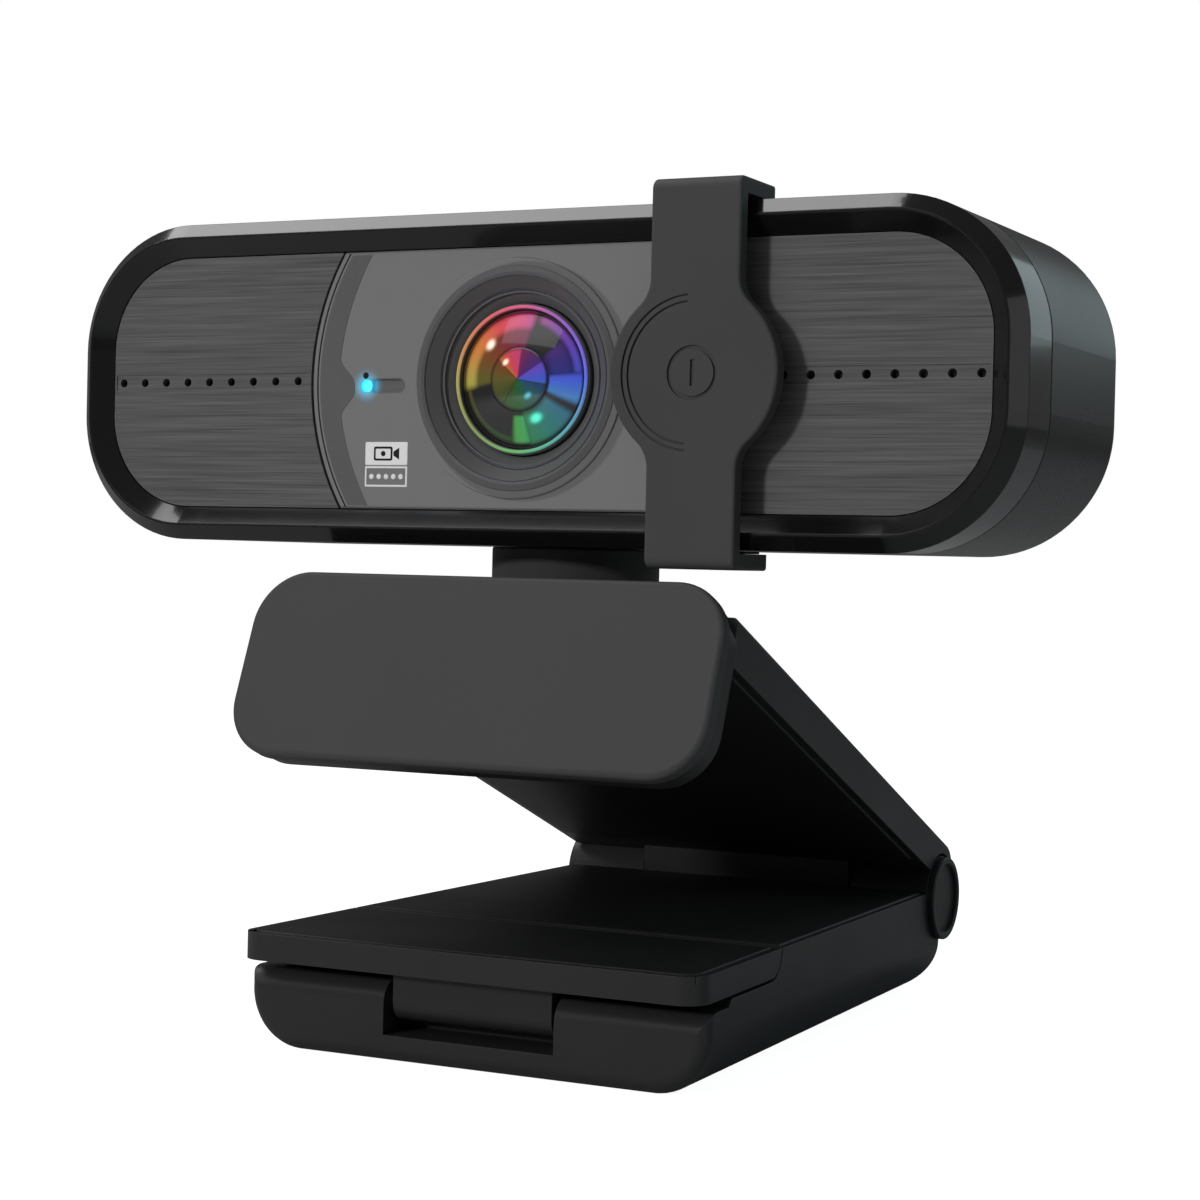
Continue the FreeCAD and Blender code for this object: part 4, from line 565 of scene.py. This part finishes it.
def turned(name, profile, material, slot, segments=192, **placing):
    """A closed profile of (radius, y) turned about the lens axis: x = r cos t, z = r sin t."""
    profile = np.asarray(profile, float)
    angle = np.linspace(0, 2 * np.pi, segments, endpoint=False)
    x = np.outer(profile[:, 0], np.cos(angle))
    z = np.outer(profile[:, 0], np.sin(angle)) + LENS_Z
    y = np.repeat(profile[:, 1][:, None], segments, 1)
    faces = grid_faces(len(profile), segments, wrap_rows=profile[0, 0] > 0, wrap_columns=True)
    return closed_piece(name, np.stack([x, y, z], -1), faces, material, slot, **placing)


def hoop(name, radius, y, thickness, material, slot, segments=192):
    """A ring of round section: a circle of the given thickness turned about the lens axis."""
    t = np.linspace(0, 2 * np.pi, 16, endpoint=False)
    profile = np.stack([radius + thickness / 2 * np.cos(t), y + thickness / 2 * np.sin(t)], -1)
    return turned(name, profile, material, slot, segments)


def upright_rows(rows):
    """Points of an upright surface from rows of ((x, z), y)."""
    return np.stack([np.column_stack([flat[:, 0], np.full(len(flat), y), flat[:, 1]]) for flat, y in rows])


def plate(name, outline, front, thickness, material, slot, hole=None):
    """A flat plate from a closed outline of (x, z), or a frame where a hole of as many points is given.

    Its section runs from the middle (or the hole) out over the front, down the edge and back.
    """
    outline = np.asarray(outline, float)
    middle_point = np.repeat(outline.mean(0)[None], len(outline), 0)
    inner = middle_point if hole is None else np.asarray(hole, float)
    edge = min(thickness * 0.4, 0.05)
    shrunk = inner + (outline - inner) * (1 - edge / np.linalg.norm(outline - inner, axis=1))[:, None]
    rows = [(inner, front), (shrunk, front), (outline, front + edge), (outline, front + thickness),
            (inner, front + thickness)]
    faces = grid_faces(len(rows), len(outline), wrap_rows=hole is not None, wrap_columns=True)
    return closed_piece(name, upright_rows(rows), faces, material, slot, smooth=False)


def rounded_box(x, z, half_x, half_z, radius, steps=6):
    """A rectangle with round corners: four quarter circles joined by straight runs."""
    t = np.linspace(0, np.pi / 2, steps)
    quarters = []
    for turn, sign_x, sign_z in ((0, 1, 1), (1, -1, 1), (2, -1, -1), (3, 1, -1)):
        a = t + turn * np.pi / 2
        quarters.append(np.stack([x + sign_x * (half_x - radius) + radius * np.cos(a),
                                  z + sign_z * (half_z - radius) + radius * np.sin(a)], -1))
    return np.concatenate(quarters)


def round_outline(x, z, radius, steps=32):
    """A circle of points round x, z."""
    t = np.linspace(0, 2 * np.pi, steps, endpoint=False)
    return np.stack([x + radius * np.cos(t), z + radius * np.sin(t)], -1)


# ---------------------------------------------------------------- lens colours

# Colours of the coating's painted reflections: degrees round the axis, and the colour there.
WHEEL = (
    (-180, (0.34, 0.29, 0.06)), (-135, (0.16, 0.22, 0.05)), (-90, (0.06, 0.36, 0.08)),
    (-60, (0.04, 0.34, 0.27)), (-30, (0.06, 0.26, 0.42)), (0, (0.06, 0.10, 0.62)),
    (30, (0.14, 0.07, 0.52)), (60, (0.26, 0.05, 0.34)), (90, (0.55, 0.05, 0.17)),
    (115, (0.60, 0.06, 0.08)), (145, (0.55, 0.17, 0.04)), (180, (0.34, 0.29, 0.06)),
)
# Reflections in the glass: angle from and to, radius from and to (share of the glass's radius),
# softness of those two, strength.
REFLECTIONS = (
    (78, 188, 0.72, 0.95, 0.09, 1.0),
    (78, 188, 0.45, 0.95, 0.03, 0.28),
    (5, 72, 0.84, 0.95, 0.05, 0.75),
    (-22, 5, 0.49, 0.95, 0.02, 0.95),
    (5, 40, 0.49, 0.84, 0.10, 0.30),
    (-82, -31, 0.50, 0.94, 0.06, 0.50),
    (-98, -80, 0.53, 0.91, 0.03, 0.85),
    (-172, -98, 0.84, 0.90, 0.04, 0.22),
    (84, 140, 0.00, 0.43, 0.05, 0.85),
    (30, 88, 0.00, 0.44, 0.04, 0.30),
    (-10, 34, 0.00, 0.44, 0.03, 0.80),
    (-125, -8, 0.00, 0.44, 0.05, 0.24),
    (140, 235, 0.00, 0.44, 0.05, 0.26),
)
# Painted highlights: angle, place (share of the glass's radius), size round the axis and out from it
# in millimetres, colour.
PAINTED_HIGHLIGHTS = (
    (135, 0.71, 0.55, 0.42, (1.1, 0.95, 0.75)),
    (131, 0.32, 0.34, 0.24, (1.0, 0.85, 0.70)),
    (-64, 0.62, 0.62, 0.42, (0.10, 0.85, 0.62)),
    (-56, 0.29, 0.38, 0.26, (0.08, 0.42, 0.50)),
)


def window(value, low, high, soft):
    """1 between low and high and 0 outside, with a smooth step of the given softness at each end."""
    up = np.clip((value - low + soft) / (2 * soft), 0, 1)
    down = np.clip((high - value + soft) / (2 * soft), 0, 1)
    return up * up * (3 - 2 * up) * down * down * (3 - 2 * down)


def wheel_colour(angle):
    """Colour of the coating at an angle in degrees: each channel runs straight between the stops."""
    stops = [stop for stop, colour in WHEEL]
    return np.stack([np.interp(angle, stops, [colour[c] for stop, colour in WHEEL]) for c in range(3)], -1)


def lens_colour(x, z):
    """Tint of the coated glass at x, z: sectors of painted reflected colour and painted highlights on near
    black.
    """
    angle, share = np.degrees(np.arctan2(z, x)), np.hypot(x, z) / GLASS_RADIUS
    hue = wheel_colour(angle)
    tint = np.full(hue.shape, 0.012)
    # Painted reflections: each sector of the coating's colour is painted into the tint.
    for start, end, inner, outer, soft, strength in REFLECTIONS:
        middle_angle, half = (start + end) / 2, (end - start) / 2
        away = np.abs((angle - middle_angle + 180) % 360 - 180)
        sector = window(away, -half, half, SECTOR_SOFTNESS)
        share_lit = sector * window(share, inner, outer, soft) * strength
        tint = np.maximum(tint, hue * share_lit[:, None])
    # Painted highlights of the studio lights, added to the tint.
    for turn, place, round_size, out_size, colour in PAINTED_HIGHLIGHTS:
        direction = np.radians(turn)
        dx = x - place * GLASS_RADIUS * np.cos(direction)
        dz = z - place * GLASS_RADIUS * np.sin(direction)
        out = dx * np.cos(direction) + dz * np.sin(direction)
        side = dz * np.cos(direction) - dx * np.sin(direction)
        lit_share = np.exp(-((out / out_size) ** 2 + (side / round_size) ** 2) ** 1.5)
        tint = tint + np.outer(lit_share, colour)
    for edge, _, dark in DOME_GROOVES:
        tint = tint * (1 - dark * window(share, edge - 0.008, edge + 0.008, 0.012))[:, None]
    return np.clip(tint, 0, 1)


def colour_mesh(piece, colours):
    """Write a colour for each point, worked out from the points' x and z about the lens axis."""
    mesh = piece.data
    flat = np.empty(len(mesh.vertices) * 3)
    mesh.vertices.foreach_get("co", flat)
    points = flat.reshape(-1, 3) / MM
    tint = colours(points[:, 0], points[:, 2] - LENS_Z)
    attribute = mesh.color_attributes.new(TINT, "FLOAT_COLOR", "POINT")
    attribute.data.foreach_set("color", np.column_stack([tint, np.ones(len(tint))]).ravel())


# ---------------------------------------------------------------- operators

def scene_settings():
    return bpy.context.scene.webcam_camera, bpy.context.scene.webcam_studio, bpy.context.scene.webcam_finish


class WEBCAM_OT_finishes(bpy.types.Operator):
    """Make the finishes and put them on the model's pieces"""
    bl_idname = "webcam.finishes"
    bl_label = "Finishes"

    def execute(self, context):
        paint = context.scene.webcam_finish
        make_groups()
        made = {
            "stand_plastic": moulded("satin black", paint.stand[:], 0.40),
            "lip_plastic": moulded("soft touch grey", paint.lip[:], 0.55, cell=0.0003, depth=0.000008,
                                   wear=0.15),
            "slider_matte": moulded("matte grey", paint.slider[:], 0.60, cell=0.0002, depth=0.000008,
                                    wear=0.2),
            "bezel_gloss": moulded("polished black", paint.bezel[:], 0.12, cell=0.001, depth=0.0000006,
                                   wear=0.35, edge=0.00018, dust=0.15, Coat_Weight=0.3),
            "cover_satin": moulded("half gloss black", paint.rear[:], 0.28, cell=0.0005, depth=0.000003,
                                   wear=0.2, dust=0.12),
            "brushed_black": brushed("brushed black", paint.panel[:], 0.38, 0.42),
            "fascia_gloss": fascia_finish(paint.fascia[:], paint.light[:]),
            "inner_plastic": moulded("inner black", (0.02, 0.02, 0.02), 0.6, wear=0.0),
            "barrel_black": moulded("barrel black", paint.barrel[:], 0.42, cell=0.0002, depth=0.000004,
                                    wear=0.1),
            "rubber_black": moulded("rubber", paint.rubber[:], 0.50, cell=0.0004, depth=0.00002, wear=0.1,
                                    dust=0.7),
            "brass_insert": metal("turned brass", (0.78, 0.56, 0.24), 0.3),
            "steel_zinc": metal("zinc plated steel", (0.60, 0.60, 0.62), 0.3),
            "aluminium_can": metal("drawn aluminium", (0.75, 0.75, 0.76), 0.25),
            "washer_white": moulded("acetal", (0.7, 0.7, 0.66), 0.4, wear=0.0, dust=0.1),
            "coated_glass": glass("coated glass", (0.92, 0.95, 1.0)),
            "light_pipe": lit("lit light pipe", paint.light[:], 6.0),
            "led_body": moulded("chip package", (0.8, 0.8, 0.75), 0.3, wear=0.0),
            "sensor_glass": sensor_finish(),
            "board_green": board_finish(),
            "felt_black": moulded("felt", (0.02, 0.02, 0.02), 0.9, cell=0.00015, depth=0.00004, wear=0.0,
                                  Sheen_Weight=0.5),
        }
        for row in frame["record"]["subparts"]:
            mesh = nodes[row["node"]].data
            mesh.materials.clear()
            mesh.materials.append(made[row["material_slot"]])
        return {"FINISHED"}


class WEBCAM_OT_lens(bpy.types.Operator):
    """Coated front lens and its coloured ring, painted with reflections that glow, and the pale rings round
    it, one a painted highlight
    """
    bl_idname = "webcam.lens"
    bl_label = "Lens"

    def execute(self, context):
        # The coated lens glows with its painted reflections and highlights.
        self.add_glass(tinted("coated lens", 0.22, 0.45, coat=1.0))
        # Painted reflection: the coating's colours round the axis, lifted toward white, glowing on the
        # ring.
        rainbow = tinted("rainbow ring", 0.2, 0.6, coat=0.6)
        rim = hoop("rainbow_ring", GLASS_RADIUS + RAINBOW_GAP, BARREL_FRONT + 0.02, RAINBOW_THICKNESS,
                   rainbow, "coated_glass", 288)
        colour_mesh(rim, lambda x, z: 0.90 * wheel_colour(np.degrees(np.arctan2(z, x))) + 0.05)
        # The funnel ring is a painted highlight: a pale hoop where the funnel's step catches the light.
        pale = metal("pale ring", (0.17, 0.17, 0.20), 0.35)
        for name, (radius, behind, thickness) in (("funnel_highlight_ring", FUNNEL_HIGHLIGHT_RING),
                                                  ("front_groove_ring", GROOVE_RING)):
            hoop(name, radius, RING_LOW.y + behind, thickness, pale, "barrel_black")
        return {"FINISHED"}

    def add_glass(self, material):
        """Part of a sphere, y = front + R - sqrt(R^2 - r^2), with two fine grooves and a flat back."""
        front, back = GLASS_LOW.y, GLASS_HIGH.y - GLASS_GAP
        reach = GLASS_RADIUS - GLASS_GAP
        radius = np.linspace(0, reach, 130)
        depth = front + DOME_SPHERE - np.sqrt(DOME_SPHERE ** 2 - radius ** 2)
        for edge, cut, _ in DOME_GROOVES:
            depth = depth + cut * window(radius / reach, edge - 0.01, edge + 0.01, 0.012)
        profile = np.concatenate([np.stack([radius, depth], -1), [(reach, back), (0, back)]])
        piece = turned("coated_front_lens", profile, material, "coated_glass", 288)
        colour_mesh(piece, lens_colour)
        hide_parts("front_lens")


class WEBCAM_OT_fascia(bpy.types.Operator):
    """Borders and fine lines of the centre panel, the label and the hole beside the light"""
    bl_idname = "webcam.fascia"
    bl_label = "Centre panel"

    def execute(self, context):
        paint = context.scene.webcam_finish
        dark = moulded("smoked border", shaded(paint.fascia[:], 0.57), 0.30, cell=0.0006, depth=0.000001,
                       wear=0.1, dust=0.1)
        black = moulded("print black", (0.010, 0.010, 0.010), 0.5, wear=0.0, dust=0.0)
        white = moulded("print white", (0.92, 0.92, 0.92), 0.5, wear=0.0, dust=0.15, variation=0.03)
        for word, side in (("left", -1), ("right", 1)):
            self.add_border(word, side, dark)
            self.add_line(word, side, black)
        self.add_label(white, black)
        hole = round_outline(LIGHT.x + HOLE_SHIFT[0], LIGHT.z + HOLE_SHIFT[1], HOLE_RADIUS)
        plate("light_sensor_hole", hole, FASCIA_Y - 0.03, 0.2, black, "inner_plastic")
        return {"FINISHED"}

    def arc_x(self, z, inset):
        """Distance of the centre panel's end arc from the lens axis at a height, less an inset."""
        return FASCIA_REACH - ARC_RADIUS + np.sqrt((ARC_RADIUS - inset) ** 2 - z ** 2)

    def add_border(self, word, side, material):
        """A band inside the end arc; its inner edge is a parabola with a smooth step beside the light."""
        z = np.linspace(-FASCIA_HALF + 0.3, FASCIA_HALF - 0.3, 90)
        outer = self.arc_x(z, BORDER_INSET)
        bay = BAY_DEPTH * window(z, BAY_LOW, BAY_HIGH, BAY_SOFTNESS)
        inner = BORDER_REACH - BORDER_CURVE * z ** 2 - bay
        outline = np.concatenate([np.stack([side * outer, z + LENS_Z], -1),
                                  np.stack([side * inner, z + LENS_Z], -1)[::-1]])
        self.add_band(f"fascia_border_{word}", outline, BORDER_PROUD, material)

    def add_line(self, word, side, material):
        """A fine band that follows the end arc."""
        z = np.linspace(-FASCIA_HALF + 0.15, FASCIA_HALF - 0.15, 60)
        outer, inner = (self.arc_x(z, inset) for inset in LINE_INSETS)
        outline = np.concatenate([np.stack([side * outer, z + LENS_Z], -1),
                                  np.stack([side * inner, z + LENS_Z], -1)[::-1]])
        self.add_band(f"fascia_line_{word}", outline, LINE_PROUD, material)

    def add_band(self, name, outline, proud, material):
        """A thin band between two curves with the same number of points, closed all round."""
        half = len(outline) // 2
        near, far = outline[:half], outline[half:][::-1]
        front, back = FASCIA_Y - proud, FASCIA_Y + 0.05
        points = upright_rows([(near, front), (far, front), (far, back), (near, back)])
        faces = grid_faces(4, half, wrap_rows=True)
        ends = [[row * half + end for row in range(4)] for end in (0, half - 1)]
        closed_piece(name, points, faces + ends, material, "fascia_gloss", smooth=False)

    def add_label(self, white, black):
        """A white field with a small camera sign, over a framed row of dots."""
        x, half = (LABEL_LEFT + LABEL_RIGHT) / 2, (LABEL_RIGHT - LABEL_LEFT) / 2
        front = FASCIA_Y - LABEL_PROUD
        upper_z, upper_half = LENS_Z + (LABEL_TOP + LABEL_MIDDLE) / 2, (LABEL_TOP - LABEL_MIDDLE) / 2
        field = rounded_box(x, upper_z, half, upper_half, 0.12)
        plate("label_field", field, front, LABEL_THICKNESS, white, "washer_white")
        self.add_sign(x, upper_z, front - 0.03, black)
        lower_z = LENS_Z + (LABEL_MIDDLE + LABEL_LOW) / 2 - 0.05
        lower_half = (LABEL_MIDDLE - LABEL_LOW) / 2 - 0.05
        border = rounded_box(x, lower_z, half, lower_half, 0.1)
        inside = rounded_box(x, lower_z, half - LABEL_WALL, lower_half - LABEL_WALL, 0.05)
        plate("label_frame", border, front, LABEL_THICKNESS, white, "washer_white", hole=inside)
        for index in range(DOT_COUNT):
            place = x + (index - (DOT_COUNT - 1) / 2) * DOT_PITCH
            dot = round_outline(place, lower_z, DOT_RADIUS, 20)
            plate(f"label_dot_{index}", dot, front, LABEL_THICKNESS, white, "washer_white")

    def add_sign(self, x, z, front, black):
        """A camera sign: a framed body with a round eye, and a horn to its right."""
        body_x = x + SIGN_SHIFT
        half_x, half_z = SIGN_HALF
        body = rounded_box(body_x, z, half_x, half_z, 0.2)
        inside = rounded_box(body_x, z, half_x - SIGN_WALL, half_z - SIGN_WALL, 0.1)
        plate("label_camera_body", body, front, SIGN_THICKNESS, black, "inner_plastic", hole=inside)
        eye = round_outline(body_x, z, SIGN_EYE)
        plate("label_camera_eye", eye, front, SIGN_THICKNESS, black, "inner_plastic")
        horn = np.array(SIGN_HORN) + (x, z)
        plate("label_camera_horn", horn, front, SIGN_THICKNESS, black, "inner_plastic")


class WEBCAM_OT_thread(bpy.types.Operator):
    """Screw thread inside the tripod insert"""
    bl_idname = "webcam.thread"
    bl_label = "Tripod thread"

    def execute(self, context):
        """A ridge of V section carried along a helix: r and z of each section point shift with the turn."""
        root, crest, pitch = THREAD_BORE + THREAD_SINK, THREAD_BORE - THREAD_DEPTH, THREAD_PITCH
        root_half = pitch * ROOT_SHARE
        turns = (INSERT_HIGH.z - INSERT_LOW.z - pitch) / pitch
        angle = np.linspace(0, turns * 2 * np.pi, int(turns * 48))
        section = np.array([(root, -root_half), (crest, -CREST_HALF), (crest, CREST_HALF),
                            (root, root_half)])
        rise = INSERT_LOW.z + pitch * 0.5 + angle / (2 * np.pi) * pitch
        taper = np.clip(np.minimum(angle, angle[-1] - angle) / RUN_IN, 0.02, 1)
        radius = root - (root - section[:, 0])[:, None] * taper[None]
        z = rise[None] + section[:, 1][:, None]
        points = np.stack([radius * np.cos(angle), radius * np.sin(angle), z], -1)
        count = len(angle)
        faces = grid_faces(len(section), count, wrap_rows=True)
        ends = [[row * count + end for row in range(len(section))] for end in (0, count - 1)]
        brass = bpy.data.materials["turned brass"]
        closed_piece("insert_thread", points, faces + ends, brass, "brass_insert", body="base")
        return {"FINISHED"}


class WEBCAM_OT_studio(bpy.types.Operator):
    """Add the floor, the soft lights and the camera"""
    bl_idname = "webcam.studio"
    bl_label = "Studio"

    def execute(self, context):
        self.add_floor(context)
        self.add_lights(context)
        self.add_camera(context)
        context.scene.view_settings.view_transform = "Standard"
        return {"FINISHED"}

    def add_floor(self, context):
        """A level sheet of paper: a grid of x and y just under the part's underside."""
        colour = context.scene.webcam_studio.floor[:]
        side = np.linspace(-4.0, 4.0, 9)
        y, x = np.meshgrid(side, side, indexing="ij")
        points = np.stack([x, y, np.zeros_like(x)], -1).reshape(-1, 3)
        mesh = bpy.data.meshes.new("floor")
        mesh.from_pydata(points.tolist(), [], grid_faces(len(side), len(side)))
        floor = bpy.data.objects.new("floor", mesh)
        floor.location.z = cad_low.z - FLOOR_DROP
        context.scene.collection.objects.link(floor)
        material, wires, shader = start_material("backdrop paper", Roughness=0.8)
        fibre = wires.noise(wires.object_place(), 300.0, 3.0)
        wires.feed(shader.inputs["Base Color"], wires.mix(fibre, shaded(colour, 0.99), colour))
        shader.inputs["Emission Color"].default_value = (1.0, 1.0, 1.0, 1.0)
        seen = wires.node("ShaderNodeLightPath").outputs["Is Camera Ray"]
        glow = context.scene.webcam_studio.paper
        wires.feed(shader.inputs["Emission Strength"], wires.math("MULTIPLY", seen, glow))
        mesh.materials.append(material)

    def add_lights(self, context):
        studio = context.scene.webcam_studio
        aim = Vector((0.0, 0.0, 0.05))
        white, cool, pale = (1.0, 1.0, 1.0), (0.50, 0.85, 0.95), (0.78, 0.95, 1.0)
        for name, place, size, power, colour, hidden_from in (
            ("key", (-0.25, -0.55, 0.55), (0.55, 0.40), studio.key, white, None),
            ("front", (-0.20, -0.62, 0.20), (0.06, 0.06), studio.front, white, "visible_glossy"),
            ("top", (-0.33, -0.01, 0.60), (0.25, 0.46), studio.top, white, None),
            ("side", (0.60, 0.10, 0.35), (0.30, 0.30), studio.side, cool, None),
            ("back", (0.18, 0.50, 0.24), (0.25, 0.26), studio.back, pale, None),
            ("rim", (0.60, -0.19, 0.15), (0.12, 0.36), studio.rim, white, "visible_diffuse"),
        ):
            lamp = bpy.data.lights.new(name, "AREA")
            lamp.shape, lamp.size, lamp.size_y = "RECTANGLE", size[0], size[1]
            lamp.energy, lamp.color = power, colour
            light = bpy.data.objects.new(name, lamp)
            light.location = place
            light.rotation_euler = (Vector(place) - aim).to_track_quat("Z", "Y").to_euler()
            if hidden_from:
                setattr(light, hidden_from, False)
            context.scene.collection.objects.link(light)
        world = bpy.data.worlds.new("surroundings")
        world.use_nodes = True
        air = Wiring(world.node_tree)
        even = world.node_tree.nodes["Background"]
        even.inputs["Color"].default_value = (1.0, 1.0, 1.0, 1.0)
        seen = air.node("ShaderNodeLightPath").outputs["Is Camera Ray"]
        air.feed(even.inputs["Strength"], air.range(seen, 0.0, 1.0, studio.world, 1.0))
        context.scene.world = world

    def add_camera(self, context):
        """The camera's axes: back along the line of sight, level right turned by the roll."""
        camera = context.scene.webcam_camera
        az, el, roll = (math.radians(v) for v in (camera.azimuth, camera.elevation, camera.roll))
        back = Vector((math.sin(az) * math.cos(el), -math.cos(az) * math.cos(el), math.sin(el)))
        right = (-back).cross(Vector((0, 0, 1))).normalized()
        up = right.cross(-back)
        turned_right = right * math.cos(roll) + up * math.sin(roll)
        turned_up = up * math.cos(roll) - right * math.sin(roll)
        lens = bpy.data.cameras.new("camera")
        lens.sensor_width, lens.lens = 36.0, camera.focal
        lens.clip_start, lens.clip_end = 0.01, 20.0
        seat = bpy.data.objects.new("camera", lens)
        seat.matrix_world = Matrix.Translation(camera.place) @ Matrix(
            (turned_right, turned_up, back)).transposed().to_4x4()
        context.scene.collection.objects.link(seat)
        context.scene.camera = seat


class WEBCAM_PT_panel(bpy.types.Panel):
    """Lists the settings and the steps"""
    bl_idname = "WEBCAM_PT_panel"
    bl_label = "Webcam"
    bl_space_type = "VIEW_3D"
    bl_region_type = "UI"
    bl_category = "Webcam"

    def draw(self, context):
        for group in scene_settings():
            for word in group.bl_rna.properties.keys():
                if word not in ("rna_type", "name"):
                    self.layout.prop(group, word)
        for step in STEPS:
            self.layout.operator(step.bl_idname)


STEPS = (WEBCAM_OT_finishes, WEBCAM_OT_lens, WEBCAM_OT_fascia, WEBCAM_OT_thread, WEBCAM_OT_studio)
CLASSES = (CameraSettings, StudioSettings, FinishSettings, *STEPS, WEBCAM_PT_panel)


def register():
    for item in CLASSES:
        bpy.utils.register_class(item)
    bpy.types.Scene.webcam_camera = PointerProperty(type=CameraSettings)
    bpy.types.Scene.webcam_studio = PointerProperty(type=StudioSettings)
    bpy.types.Scene.webcam_finish = PointerProperty(type=FinishSettings)


def unregister():
    del bpy.types.Scene.webcam_camera, bpy.types.Scene.webcam_studio, bpy.types.Scene.webcam_finish
    for item in reversed(CLASSES):
        bpy.utils.unregister_class(item)


def main():
    register()
    for step in STEPS:
        group, word = step.bl_idname.split(".")
        getattr(getattr(bpy.ops, group), word)()


if __name__ == "__main__":
    main()
